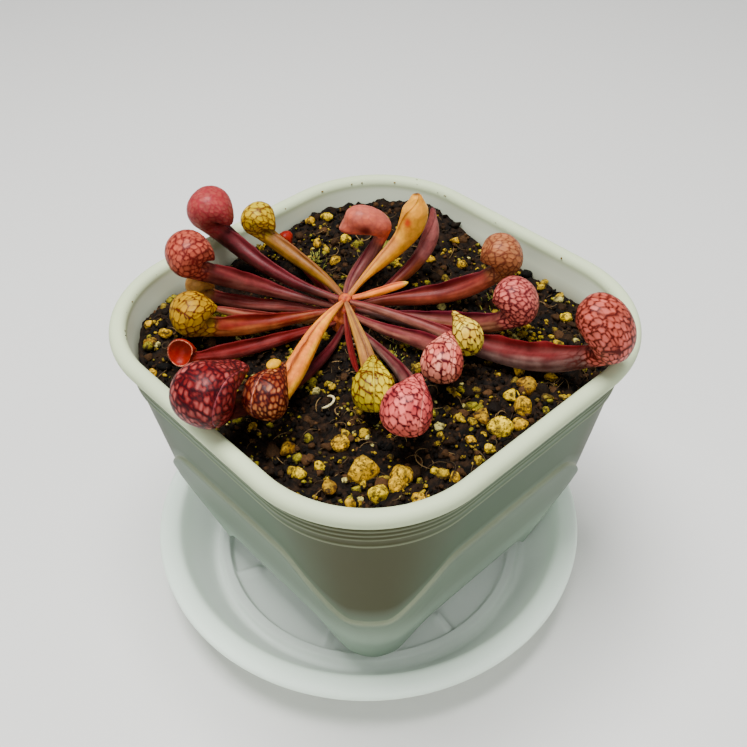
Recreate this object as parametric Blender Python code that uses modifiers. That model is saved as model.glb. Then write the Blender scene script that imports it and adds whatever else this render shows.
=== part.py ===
"""A parrot pitcher plant in its square nursery pot, standing on a round saucer.

Lengths below are in millimetres, as a grower would measure them, and MM turns them
into metres where a mesh is made.  +Z is up.  The origin is the centre of the saucer's
flat underside, and the pot's straight sides run along X and Y.
"""
import math
import random

import bmesh
import bpy
import numpy as np
from mathutils import Vector, noise

MM = 0.001
GAP = 0.3

# The saucer: a turned dish with a broad rounded lip and a low ring that carries the pot.
SAUCER_RADIUS = 52.2
SAUCER_HEIGHT = 14.4
SAUCER_FOOT_RADIUS = 38.0
SAUCER_FLOOR = 2.2
LIP_WIDTH = 5.6
RING_RADIUS = 36.9
RING_TOP = 4.2
RING_WIDTH = 3.0
RIB_COUNT = 7
RIB_INNER_RADIUS = 28.5
RIB_WIDTH = 1.8
RIB_TOP = 3.6
RIB_FIRST_DEG = 158.0
TURN_STEPS = 40

# The pot stands a little off the saucer's middle.
POT_X = 2.4
POT_Y = -0.4
POT_BASE = RING_TOP + GAP
POT_TOP = 75.9
RIM_HALF = 47.5
RIM_CORNER = 27.7
RIM_WIDTH = 3.6
WALL = 1.4
FLOOR_TOP = 17.2
FLOOR_BELOW = 15.4
CORNER_CUTS = 5
SIDE_CUTS = 4

# Heights where the wall's width is known, with half a side and the corner radius there.
WALL_HEIGHTS = (POT_BASE, 33.4, 69.4)
WALL_HALVES = (30.3, 38.5, 45.05)
WALL_CORNERS = (10.0, 16.2, 26.2)
SHOULDER_HEIGHT = 71.6
STEP_LINE = 63.9
SKIRT_AT_CORNERS = 32.6
SKIRT_RISE = 15.5
SKIRT_OUT = 0.7
ARCH_RISE = 8.8
FOOT_RISE = 1.2
DRAIN_RADIUS = 3.0
DRAIN_PLACE = 17.0

# The soil, its hollow round the crown, and the grains of perlite and pumice in it.
SOIL_LEVEL = 67.4
SOIL_RINGS = 12
SOIL_SWELLS = ((0.42, 0.12, 0.05, 0.7), (0.34, -0.07, 0.13, 2.1),
               (0.26, 0.21, -0.17, 4.0), (0.18, 0.33, 0.29, 1.1))
HOLLOW_DEPTH = 3.4
HOLLOW_RADIUS = 14.0
BACK_BANK = 3.4
BACK_BANK_WAY = (0.55, 0.83)
LEFT_HEAP = 5.2
LEFT_HEAP_PLACE = (-27.0, 31.0)
LEFT_HEAP_RADIUS = 15.0
SOIL_GAP = 0.45
SETTLE_REACH = 4.5
SETTLE_ROOM = 1.0

# The large grains, as the photo shows them: place and radius.
GRAINS = (
    (-31.5, -12.7, 1.9), (-23.6, -18.5, 1.9), (-25.4, -26.7, 2.7), (-20.2, -31.6, 2.5),
    (-26.7, -32.4, 1.9), (-22.2, -33.1, 1.7), (2.3, -31.7, 1.7), (2.6, -36.2, 2.5),
    (6.0, -38.4, 1.9), (9.9, -35.9, 1.9), (15.1, -32.5, 2.1), (10.9, -32.1, 1.5),
    (-17.7, 17.3, 1.5), (-21.3, 17.5, 1.3), (-31.6, 34.2, 1.3), (-34.2, 30.0, 1.3),
    (-30.5, 29.6, 1.3), (-38.2, 24.1, 1.1), (25.4, -28.7, 1.3), (38.4, -24.1, 1.3),
    (23.5, 39.2, 1.3), (21.8, 30.7, 1.5), (15.8, 33.7, 1.3), (15.5, 27.1, 1.3),
    (19.3, 40.8, 1.1), (41.0, 12.1, 1.1), (36.3, 5.3, 1.3), (31.7, 11.4, 1.3),
    (19.2, -27.1, 1.3), (20.9, -34.3, 1.3), (-3.0, -38.6, 1.3), (-4.2, -34.5, 1.1),
    (-30.2, -20.3, 1.3), (-34.2, -19.2, 1.5), (-32.4, -25.6, 1.3), (-13.4, -39.2, 1.3),
    (-14.5, -35.3, 1.1), (-21.8, -38.4, 1.3), (-32.3, -31.0, 1.1), (-32.7, -2.7, 1.1),
)

# The crown, from which every pitcher grows.
CROWN_X = POT_X + 1.5
CROWN_Y = POT_Y + 10.8
CROWN_TOP = 73.3
WHORL_HEIGHTS = (72.0, 69.4, 66.8)
WHORL_RADII = (1.9, 2.8, 3.5)
BASE_HALF = 0.6

# Pitchers.  A hood's middle lies "turn" degrees round the crown, "reach" away from it and
# at "height"; "ball" is the hood's radius.  "heading" and "climb" say where the tube points
# as it runs into the hood, "leave" where it leaves the crown, and "whorl" at which of the
# three heights.  "tall", "wide" and "long" stretch the hood, and "beak" is how far its
# point reaches back over the tube and how high, in hood radii.
USUAL = dict(climb=20.0, tube=1.5, wing=1.2, tall=1.0, wide=1.0, long=1.0,
             beak=(-1.15, 0.3), close=96.0, leave_climb=0.0, bend=0.36, sag=0.0,
             bulb=0.0, dome=0.7)
PITCHERS = [
    dict(name="pitcher_01", turn=107, reach=35.0, height=84.4, ball=5.0, heading=118, climb=40,
         leave=120, whorl=0, tube=1.5, leave_climb=7),
    dict(name="pitcher_02", turn=133, reach=33.3, height=83.0, ball=5.0, heading=158, climb=34,
         leave=116, whorl=1, tube=1.4, leave_climb=1, bend=0.42),
    dict(name="pitcher_03", turn=126, reach=33.6, height=71.8, ball=3.1, heading=128,
         leave=112, whorl=2, tube=1.2, wing=0.8, leave_climb=2),
    dict(name="pitcher_04", turn=153, reach=33.2, height=75.8, ball=4.7, heading=156, climb=22,
         leave=150, whorl=1, tube=1.5, wing=1.4, beak=(-1.0, 0.6)),
    dict(name="pitcher_05", turn=166, reach=38.0, height=73.2, ball=2.8, heading=167,
         leave=172, whorl=2, tube=1.3, leave_climb=12),
    dict(name="pitcher_06", turn=197, reach=48.0, height=83.4, ball=6.1, heading=198, climb=31,
         leave=216, whorl=2, tube=1.5, wing=0.8, beak=(-1.75, 0.85), leave_climb=4, sag=3.0),
    dict(name="pitcher_07", turn=207, reach=40.1, height=79.0, ball=4.5, heading=208, climb=14,
         leave=193, whorl=0, tube=1.9, wing=1.0, beak=(-1.85, 0.75)),
    dict(name="pitcher_08", turn=238, reach=32.4, height=74.8, ball=4.4, heading=228, climb=12,
         leave=240, whorl=0, tube=1.4, wing=0.5, beak=(-1.95, 0.75), leave_climb=4),
    dict(name="pitcher_09", turn=244, reach=42.3, height=77.8, ball=5.0, heading=212, climb=20,
         leave=258, whorl=2, tube=1.3, wing=0.8, beak=(-1.9, 0.8), leave_climb=8),
    dict(name="pitcher_10", turn=265, reach=32.1, height=76.0, ball=4.3, heading=214, climb=16,
         leave=266, whorl=1, tube=1.5, long=1.1, beak=(-1.85, 0.85), leave_climb=4),
    dict(name="pitcher_11", turn=283, reach=30.6, height=75.2, ball=3.4, heading=244, climb=20,
         leave=286, whorl=0, tube=1.1, wing=0.5, tall=1.15, wide=0.94, beak=(-2.3, 1.1),
         leave_climb=8, bend=0.26),
    dict(name="pitcher_12", turn=289, reach=56.9, height=85.4, ball=5.2, heading=283, climb=36,
         leave=308, whorl=1, tube=2.1, wing=2.0, tall=1.4, beak=(-0.95, 0.6), sag=2.4,
         leave_climb=-4),
    dict(name="pitcher_13", turn=304, reach=37.0, height=77.6, ball=4.6, heading=300, climb=32,
         leave=325, whorl=2, tube=1.6, wing=1.5, tall=1.2, beak=(-0.95, 0.5),
         leave_climb=4),
    dict(name="pitcher_14", turn=324, reach=34.4, height=80.4, ball=4.5, heading=318, climb=38,
         leave=340, whorl=1, tube=1.7, wing=1.7, tall=1.1, beak=(-0.9, 0.5), sag=1.0),
    dict(name="pitcher_16", turn=27, reach=15.3, height=82.6, ball=3.3, heading=317, climb=66,
         leave=50, whorl=1, tube=1.5, wing=0.5, tall=1.7, close=105.0, beak=(-1.0, 1.7),
         leave_climb=10),
    dict(name="pitcher_17", turn=95, reach=26.5, height=81.4, ball=3.9, heading=108, climb=28,
         leave=75, whorl=0, tube=1.4, wing=0.8),
    dict(name="pitcher_18", turn=80, reach=26.3, height=73.2, ball=1.8, heading=80,
         leave=75, whorl=2, tube=0.9, wing=0.4, leave_climb=12),
]

# Young pitchers whose hood is still folded upright, as a bulb of "bulb" more radius that
# closes from the share "dome" of their length on, and shoots that only narrow to a tip.
SHOOTS = [
    dict(name="pitcher_15", turn=358, reach=20.9, height=90.2, heading=70, climb=84, leave=14,
         whorl=0, tube=1.9, wing=0.4, tip=0.5, bulb=1.0, dome=0.84, leave_climb=18, bend=0.5),
    dict(name="shoot_01", turn=325, reach=14.0, height=75.0, heading=330, climb=10, leave=331,
         whorl=0, tube=0.85, wing=0.3, tip=0.8),
    dict(name="shoot_02", turn=140, reach=29.5, height=71.4, heading=138, leave=143, whorl=2,
         tube=1.2, wing=0.4, tip=0.7, leave_climb=0),
    dict(name="shoot_03", turn=358, reach=26.0, height=84.5, heading=80, climb=80, leave=357,
         whorl=2, tube=1.6, wing=0.6, tip=0.6, bulb=0.3, dome=0.8, leave_climb=16, bend=0.46),
    dict(name="shoot_04", turn=235, reach=20.5, height=68.8, heading=238, leave=230, whorl=1,
         tube=0.75, wing=0.3, tip=0.45, leave_climb=-4),
]


def ease(value, start, end):
    """Rise smoothly from 0 at start to 1 at end, level outside them."""
    share = np.clip((value - start) / (end - start), 0.0, 1.0)
    return share * share * (3.0 - 2.0 * share)


def unit(vector):
    return vector / np.linalg.norm(vector)


def compass(turn, climb):
    """The direction "turn" degrees round from +X, raised "climb" degrees above level."""
    turn = math.radians(turn)
    climb = math.radians(climb)
    level = math.cos(climb)
    return np.array([math.cos(turn) * level, math.sin(turn) * level, math.sin(climb)])


def clear_scene():
    for item in list(bpy.data.objects):
        bpy.data.objects.remove(item)


def new_collection(name):
    group = bpy.data.collections.new(name)
    bpy.context.scene.collection.children.link(group)
    return group


def paint(name, colour, roughness, clear=0.0):
    """A plain material: colour as linear red, green, blue."""
    material = bpy.data.materials.new(name)
    material.use_nodes = True
    shader = material.node_tree.nodes["Principled BSDF"]
    shader.inputs["Base Color"].default_value = (*colour, 1.0)
    shader.inputs["Roughness"].default_value = roughness
    shader.inputs["Metallic"].default_value = 0.0
    shader.inputs["Transmission Weight"].default_value = clear
    return material


def add_object(name, mesh, group, material, smooth_angle=40.0):
    mesh.materials.append(material)
    mesh.shade_smooth()
    mesh.set_sharp_from_angle(angle=math.radians(smooth_angle))
    item = bpy.data.objects.new(name, mesh)
    group.objects.link(item)
    return item


def loft(name, rings):
    """A closed mesh through rings of equally many points, with a flat face at each end."""
    rings = np.asarray(rings)
    count, around = rings.shape[:2]
    faces = []
    for ring in range(count - 1):
        for k in range(around):
            after = (k + 1) % around
            low = ring * around
            high = low + around
            faces.append((low + k, low + after, high + after, high + k))
    faces.append(tuple(reversed(range(around))))
    faces.append(tuple(range((count - 1) * around, count * around)))
    mesh = bpy.data.meshes.new(name)
    mesh.from_pydata((rings.reshape(-1, 3) * MM).tolist(), [], faces)
    shape = bmesh.new()
    shape.from_mesh(mesh)
    bmesh.ops.recalc_face_normals(shape, faces=shape.faces)
    bmesh.ops.triangulate(shape, faces=shape.faces)
    shape.to_mesh(mesh)
    shape.free()
    mesh.update()
    return mesh


def join_all(base, pieces, group, solver):
    """One union of base with every mesh in pieces, applied; the pieces are then removed."""
    extras = new_collection(base.name + "_joined")
    for number, mesh in enumerate(pieces):
        extras.objects.link(bpy.data.objects.new(base.name + "_extra_%03d" % number, mesh))
    joint = base.modifiers.new("join", "BOOLEAN")
    joint.operation = "UNION"
    joint.operand_type = "COLLECTION"
    joint.collection = extras
    joint.solver = solver
    bpy.context.view_layer.update()
    view = bpy.context.evaluated_depsgraph_get()
    joined = bpy.data.meshes.new_from_object(base.evaluated_get(view))
    base.modifiers.remove(joint)
    base.data = joined
    for extra in list(extras.objects):
        bpy.data.objects.remove(extra)
    bpy.data.collections.remove(extras)
    return base


def saucer_profile():
    """Radius and height down the outside, along the flat underside, and back up inside."""
    lip_inner = SAUCER_RADIUS - LIP_WIDTH
    ring_out = RING_RADIUS + RING_WIDTH / 2
    ring_in = RING_RADIUS - RING_WIDTH / 2
    top = SAUCER_HEIGHT
    inside = [
        (0.0, SAUCER_FLOOR - 0.2),
        (ring_in, SAUCER_FLOOR),
        (RING_RADIUS - 0.9, RING_TOP),
        (RING_RADIUS + 0.9, RING_TOP),
        (ring_out + 0.2, SAUCER_FLOOR + 0.4),
        (ring_out + 1.6, SAUCER_FLOOR + 0.5),
        (lip_inner - 1.2, top - 3.4),
        (lip_inner, top - 1.5),
        (lip_inner + 1.3, top - 0.4),
        (SAUCER_RADIUS - 2.6, top),
        (SAUCER_RADIUS - 1.0, top - 0.4),
        (SAUCER_RADIUS, top - 1.6),
        (SAUCER_RADIUS - 0.5, top - 2.8),
    ]
    outside = [
        (SAUCER_RADIUS - 2.2, top - 3.4),
        (SAUCER_FOOT_RADIUS + 4.4, 2.4),
        (SAUCER_FOOT_RADIUS + 1.4, 0.4),
        (SAUCER_FOOT_RADIUS, 0.0),
        (0.0, 0.0),
    ]
    return inside + outside


def make_saucer(group):
    profile = saucer_profile()
    mesh = bpy.data.meshes.new("saucer")
    points = [(radius * MM, 0.0, height * MM) for radius, height in profile]
    mesh.from_pydata(points, [(k, k + 1) for k in range(len(points) - 1)], [])
    plastic = paint("saucer_plastic", (0.72, 0.86, 0.74), 0.32)
    saucer = add_object("saucer", mesh, group, plastic)
    turn = saucer.modifiers.new("turn", "SCREW")
    turn.steps = TURN_STEPS
    turn.render_steps = TURN_STEPS
    turn.use_merge_vertices = True
    turn.merge_threshold = 0.0001
    turn.use_smooth_shade = True
    bpy.context.view_layer.update()
    view = bpy.context.evaluated_depsgraph_get()
    turned = bpy.data.meshes.new_from_object(saucer.evaluated_get(view))
    saucer.modifiers.remove(turn)
    saucer.data = turned
    return join_all(saucer, [rib_mesh(k) for k in range(RIB_COUNT)], group, "EXACT")


def rib_mesh(number):
    """A low bar on the saucer's floor, running inward from the ring."""
    shape = bmesh.new()
    bmesh.ops.create_cube(shape, size=1.0)
    length = RING_RADIUS - RIB_INNER_RADIUS
    height = RIB_TOP - SAUCER_FLOOR + 1.0
    angle = math.radians(RIB_FIRST_DEG + 360.0 * number / RIB_COUNT)
    for vert in shape.verts:
        narrow = 0.55 if vert.co.z > 0 else 1.0
        along = RIB_INNER_RADIUS + (vert.co.x + 0.5) * length
        if vert.co.z > 0 and vert.co.x < 0:
            along += 1.2
        across = vert.co.y * RIB_WIDTH * narrow
        vert.co = Vector((
            (along * math.cos(angle) - across * math.sin(angle)) * MM,
            (along * math.sin(angle) + across * math.cos(angle)) * MM,
            (RIB_TOP - height * (0.5 - vert.co.z)) * MM,
        ))
    mesh = bpy.data.meshes.new("rib")
    shape.to_mesh(mesh)
    shape.free()
    return mesh


def rounded_square_marks():
    """Where each point of a ring lies: the corner it belongs to, its share of the quarter
    turn there, and how far along the straight side after that corner it stands."""
    marks = []
    for corner in range(4):
        for cut in range(CORNER_CUTS + 1):
            marks.append((corner, cut / CORNER_CUTS, 0.0))
        for cut in range(1, SIDE_CUTS):
            marks.append((corner, 1.0, cut / SIDE_CUTS))
    return marks


def rounded_square_point(mark, half, radius):
    """X and Y of one marked point on a rounded square of half side and corner radius."""
    corner, share, along = mark
    angle = math.radians(90.0 * (corner + share))
    straight = half - radius
    centre_angle = math.radians(90.0 * corner + 45.0)
    x = math.copysign(straight, math.cos(centre_angle)) + radius * math.cos(angle)
    y = math.copysign(straight, math.sin(centre_angle)) + radius * math.sin(angle)
    side = math.radians(90.0 * (corner + 2))
    travel = 2.0 * straight * along
    return x + travel * math.cos(side), y + travel * math.sin(side)


def side_share(mark, half, radius):
    """0 in the middle of a side, 1 at the middle of a corner."""
    x, y = rounded_square_point(mark, half, radius)
    return min(abs(x), abs(y)) / max(abs(x), abs(y))


def pot_ring(height, inset=0.0, half=None, radius=None, wave=None):
    """One ring of the pot.  Its width follows the wall's taper unless it is given, and
    wave(share) lifts each point by its place between mid-side and corner."""
    ring = []
    for mark in rounded_square_marks():
        z = height
        if wave is not None:
            z += wave(side_share(mark, 40.0, 18.0))
        wide = half if half is not None else np.interp(z, WALL_HEIGHTS, WALL_HALVES)
        round_ = radius if radius is not None else np.interp(z, WALL_HEIGHTS, WALL_CORNERS)
        round_ = max(round_ - inset, 2.2)
        x, y = rounded_square_point(mark, wide - inset, round_)
        ring.append((POT_X + x, POT_Y + y, z))
    return ring


def skirt_wave(share):
    """The edge where the wall meets the foot skirt: high along the sides, low at corners."""
    return SKIRT_RISE * (1.0 - float(ease(share, 0.42, 0.86)))


def arch_wave(share):
    """The pot's lower edge: a rounded foot at each corner, and a flat arch between two."""
    foot = FOOT_RISE * (1.0 - float(ease(share, 0.6, 1.0)))
    return foot + ARCH_RISE * (1.0 - float(ease(share, 0.36, 0.66)))


def rim_ring(height, inset):
    return pot_ring(height, inset=inset, half=RIM_HALF, radius=RIM_CORNER)


def make_pot(group):
    top = POT_TOP
    rings = [
        pot_ring(FLOOR_BELOW, inset=WALL + 1.2),
        pot_ring(POT_BASE, inset=WALL + 0.6, wave=arch_wave),
        pot_ring(POT_BASE, inset=0.5, wave=arch_wave),
        pot_ring(POT_BASE + 0.7, inset=0.0, wave=arch_wave),
        pot_ring(18.0, inset=-0.3),
        pot_ring(SKIRT_AT_CORNERS - 1.6, inset=-SKIRT_OUT, wave=skirt_wave),
        pot_ring(SKIRT_AT_CORNERS, inset=0.1, wave=skirt_wave),
        pot_ring(55.5, inset=0.1),
        pot_ring(STEP_LINE, inset=0.1),
        pot_ring(STEP_LINE + 0.3, inset=-0.3),
        pot_ring(70.2, inset=-0.2),
        rim_ring(SHOULDER_HEIGHT, 1.9),
        rim_ring(SHOULDER_HEIGHT + 0.4, 1.2),
        rim_ring(top - 2.2, 1.1),
        rim_ring(top - 1.7, 0.4),
        rim_ring(top - 1.1, 0.0),
        rim_ring(top - 0.4, 0.25),
        rim_ring(top, 1.0),
        rim_ring(top, RIM_WIDTH - 0.9),
        rim_ring(top - 0.5, RIM_WIDTH - 0.2),
        rim_ring(top - 1.4, RIM_WIDTH),
        pot_ring(70.0, inset=WALL),
        pot_ring(33.4, inset=WALL),
        pot_ring(FLOOR_TOP, inset=WALL),
    ]
    plastic = paint("pot_plastic", (0.80, 0.86, 0.78), 0.35)
    pot = add_object("pot", loft("pot", rings), group, plastic)
    drains = []
    for x_side in (-1, 1):
        for y_side in (-1, 1):
            shape = bmesh.new()
            bmesh.ops.create_cone(
                shape, cap_ends=True, segments=14, radius1=DRAIN_RADIUS * MM,
                radius2=DRAIN_RADIUS * MM, depth=12.0 * MM)
            place = (POT_X + x_side * DRAIN_PLACE, POT_Y + y_side * DRAIN_PLACE, FLOOR_TOP)
            bmesh.ops.translate(shape, verts=shape.verts, vec=Vector(place) * MM)
            mesh = bpy.data.meshes.new("drain")
            shape.to_mesh(mesh)
            shape.free()
            drains.append(mesh)
    return cut_all(pot, drains)


def cut_all(base, meshes):
    """Cut every mesh out of base, and remove the cutters."""
    cutters = bpy.data.collections["cutters"]
    for number, mesh in enumerate(meshes):
        cutter = bpy.data.objects.new(base.name + "_cutter_%d" % number, mesh)
        cutter.hide_render = True
        cutter.display_type = "WIRE"
        cutters.objects.link(cutter)
        cut = base.modifiers.new("cut_%d" % number, "BOOLEAN")
        cut.operation = "DIFFERENCE"
        cut.object = cutter
    return base


def soil_height(x, y):
    """The soil's surface: slow swells, a hollow at the crown, a bank along the back wall and
    a heap in the left corner."""
    swell = sum(size * math.sin(a * x + b * y + phase) for size, a, b, phase in SOIL_SWELLS)
    away = math.hypot(x - CROWN_X, y - CROWN_Y)
    hollow = HOLLOW_DEPTH * (1.0 - float(ease(away, 4.5, HOLLOW_RADIUS)))
    back = x * BACK_BANK_WAY[0] + y * BACK_BANK_WAY[1]
    bank = BACK_BANK * float(ease(back, 26.0, 44.0))
    off = math.hypot(x - LEFT_HEAP_PLACE[0], y - LEFT_HEAP_PLACE[1])
    heap = LEFT_HEAP * (1.0 - float(ease(off, 0.0, LEFT_HEAP_RADIUS)))
    return SOIL_LEVEL + swell - hollow + max(bank, heap)


def settled_height(x, y, routes):
    """The soil's height where it has also sunk to stay clear of the pitchers over it."""
    near = routes[np.hypot(routes[:, 0] - x, routes[:, 1] - y) < SETTLE_REACH]
    if not len(near):
        return soil_height(x, y)
    return min(soil_height(x, y), float(near[:, 2].min()) - SETTLE_ROOM)


def soil_ring(height):
    return pot_ring(height, inset=WALL + SOIL_GAP)


def make_soil(group, routes):
    """The potting mix: a plug that fills the pot, with an uneven top and its grains."""
    rings = [soil_ring(FLOOR_TOP + GAP), soil_ring(33.4), soil_ring(62.0)]
    edge = np.array(soil_ring(SOIL_LEVEL))
    crown = np.array([CROWN_X, CROWN_Y])
    for step in range(SOIL_RINGS):
        share = (1.0 - step / SOIL_RINGS) ** 1.15
        ring = []
        for x, y, _ in edge:
            px, py = crown + (np.array([x, y]) - crown) * share
            ring.append((px, py, settled_height(px, py, routes)))
        rings.append(ring)
    dark = paint("potting_mix", (0.020, 0.014, 0.012), 0.95)
    soil = add_object("soil", loft("soil", rings), group, dark)
    join_all(soil, grain_meshes(routes), group, "MANIFOLD")
    return cut_all(soil, [crown_hole()])


def crown_hole():
    """A plain hole in the soil, a gap wider than the crown that stands in it."""
    shape = bmesh.new()
    bmesh.ops.create_cone(
        shape, cap_ends=True, segments=16, radius1=(WHORL_RADII[2] + 0.1) * MM,
        radius2=(WHORL_RADII[2] + 0.1) * MM, depth=24.0 * MM)
    place = (CROWN_X, CROWN_Y, 56.0 - GAP + 12.0)
    bmesh.ops.translate(shape, verts=shape.verts, vec=Vector(place) * MM)
    mesh = bpy.data.meshes.new("crown_hole")
    shape.to_mesh(mesh)
    shape.free()
    return mesh


def grain_meshes(routes):
    """The large grains pressed into the soil, turned by chance, where no pitcher lies low
    over them."""
    meshes = []
    for number, (x, y, size) in enumerate(GRAINS):
        ground = settled_height(x, y, routes)
        if nearest_route(routes, x, y, size, ground) > 0.5:
            turn = random.Random(number).uniform(0.0, math.tau)
            meshes.append(grain_mesh(x, y, size, turn, ground))
    return meshes


def nearest_route(routes, x, y, size, ground):
    """How much room a grain of this size leaves to the pitchers above or beside it."""
    top = ground + size * 1.1
    low = routes[routes[:, 2] < top + 0.6]
    if not len(low):
        return 99.0
    return float(np.min(np.hypot(low[:, 0] - x, low[:, 1] - y))) - size


def grain_mesh(x, y, size, turn, ground):
    shape = bmesh.new()
    bmesh.ops.create_icosphere(shape, subdivisions=1, radius=size)
    for vert in shape.verts:
        point = Vector((vert.co.x * 1.15, vert.co.y * 0.9, vert.co.z * 0.85))
        point *= 1.0 + 0.22 * noise.noise(point * 0.8 + Vector((x, y, 0.0)))
        across = point.x * math.cos(turn) - point.y * math.sin(turn)
        along = point.x * math.sin(turn) + point.y * math.cos(turn)
        height = ground + 0.1 * size + point.z
        vert.co = Vector((x + across, y + along, height)) * MM
    mesh = bpy.data.meshes.new("grain")
    shape.to_mesh(mesh)
    shape.free()
    return mesh


def make_crown(group):
    """The short upright rootstock that every tube leaves, in steps for its three whorls."""
    inner = [radius - GAP - 0.12 for radius in WHORL_RADII]
    profile = [
        (0.0, CROWN_TOP),
        (inner[0] * 0.6, CROWN_TOP - 0.15),
        (inner[0], CROWN_TOP - 0.9),
        (inner[0], 70.9),
        (inner[1], 70.4),
        (inner[1], 68.2),
        (inner[2], 67.7),
        (inner[2], 59.5),
        (inner[2] * 0.6, 56.6),
        (0.0, 56.0),
    ]
    mesh = bpy.data.meshes.new("crown")
    points = [(radius * MM, 0.0, height * MM) for radius, height in profile]
    mesh.from_pydata(points, [(k, k + 1) for k in range(len(points) - 1)], [])
    flesh = paint("crown_flesh", (0.55, 0.22, 0.06), 0.5)
    crown = add_object("crown", mesh, group, flesh)
    crown.location = (CROWN_X * MM, CROWN_Y * MM, 0.0)
    turn = crown.modifiers.new("turn", "SCREW")
    turn.steps = 16
    turn.render_steps = 16
    turn.use_merge_vertices = True
    turn.merge_threshold = 0.0001
    return crown


def stem_route(leaf, end, heading_way, cuts):
    """Points and directions along a tube: one cubic curve from the crown to its end."""
    whorl = leaf["whorl"]
    leave_way = compass(leaf["leave"], leaf["leave_climb"])
    start = np.array([CROWN_X, CROWN_Y, WHORL_HEIGHTS[whorl]])
    start = start + compass(leaf["leave"], 0.0) * WHORL_RADII[whorl]
    span = np.linalg.norm(end - start)
    first = start + leave_way * span * leaf["bend"]
    second = end - heading_way * span * leaf["bend"] - np.array([0.0, 0.0, leaf["sag"]])
    s = np.asarray(cuts)[:, None]
    r = 1.0 - s
    points = r**3 * start + 3 * r * r * s * first + 3 * r * s * s * second + s**3 * end
    ways = r * r * (first - start) + 2 * r * s * (second - first) + s * s * (end - second)
    ways = ways / np.linalg.norm(ways, axis=1)[:, None]
    return points, ways


def frames(ways):
    """Sideways and upward directions at each place along a tube."""
    side = np.cross(ways, np.array([0.0, 0.0, 1.0]))
    side = side / np.linalg.norm(side, axis=1)[:, None]
    return side, np.cross(side, ways)


def section(outer, inner, side, half_wide, fin, sides):
    """One closed cross-section of a pitcher.

    It runs as a slightly squared oval from the outer (lower) point round to the inner
    (upper) one, where a thin fin stands up: the wing of the tube, or the keel of the hood.
    """
    middle = (outer + inner) / 2
    reach = np.linalg.norm(inner - outer) / 2
    along = unit(inner - outer)
    open_angle = math.radians(24.0)
    angles = np.linspace(-math.pi + open_angle, math.pi - open_angle, sides)
    power = 2.0 / 2.25
    down = np.sign(np.cos(angles)) * np.abs(np.cos(angles)) ** power
    across = np.sign(np.sin(angles)) * np.abs(np.sin(angles)) ** power
    oval = middle - along * (down * reach)[:, None] + side * (across * half_wide)[:, None]
    thick = min(0.32, half_wide * 0.55)
    base = inner - along * 0.04 * reach
    tip = inner + along * fin
    edge = [base + side * thick, tip + side * thick * 0.95,
            tip - side * thick * 0.95, base - side * thick]
    return np.vstack([oval, edge])


def hood_outline(leaf, steps, beak_steps):
    """Outer and inner points of the hood's sections in hood radii, with their half widths.

    X runs on along the tube and Y up from it, from the middle of the hood.  The outer
    points go round the ball and then out to the beak.  The inner ones stay by the mouth,
    under the beak.
    """
    long_, tall, wide = leaf["long"], leaf["tall"], leaf["wide"]
    tube_top = -tall + 0.84
    near = np.array([-0.72 * long_, tube_top - 0.02])
    mouth = np.array([-0.60 * long_, tube_top + 0.16])
    outer = [np.array([-0.8 * long_, -tall])]
    inner = [np.array([-0.95 * long_, tube_top])]
    half = [0.56 * wide]
    for angle in np.linspace(-100.0, leaf["close"], steps):
        turn = math.radians(angle)
        share = (angle + 100.0) / (leaf["close"] + 100.0)
        out = np.array([long_ * math.cos(turn), tall * math.sin(turn)])
        into = near + (mouth - near) * share
        middle = (out + into) / 2
        room = 1.0 - (middle[0] / long_) ** 2 - (middle[1] / tall) ** 2
        outer.append(out)
        inner.append(into)
        half.append(wide * math.sqrt(max(room, 0.08)))
    last = outer[-1]
    turn = math.radians(leaf["close"])
    way = unit(np.array([-long_ * math.sin(turn), tall * math.cos(turn)]))
    point = np.array(leaf["beak"])
    bend = last + way * 0.45 * np.linalg.norm(point - last)
    inward = unit(point - mouth)
    under = point + 0.17 * np.array([-inward[1], inward[0]]) - 0.05 * inward
    widest = half[-1]
    for share in np.linspace(0.0, 1.0, beak_steps + 1)[1:]:
        rest = 1.0 - share
        outer.append(rest * rest * last + 2 * rest * share * bend + share * share * point)
        inner.append(mouth + (under - mouth) * share)
        half.append(widest * rest + 0.09 * share)
    return np.array(outer), np.array(inner), np.array(half)


def tube_half(cuts, middle, end):
    """Half a tube's height along it: the crown's end, its middle and its far end are set."""
    sag = 4.0 * cuts * (1.0 - cuts) * (middle - (BASE_HALF + end) / 2)
    return BASE_HALF + (end - BASE_HALF) * cuts + sag


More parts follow.
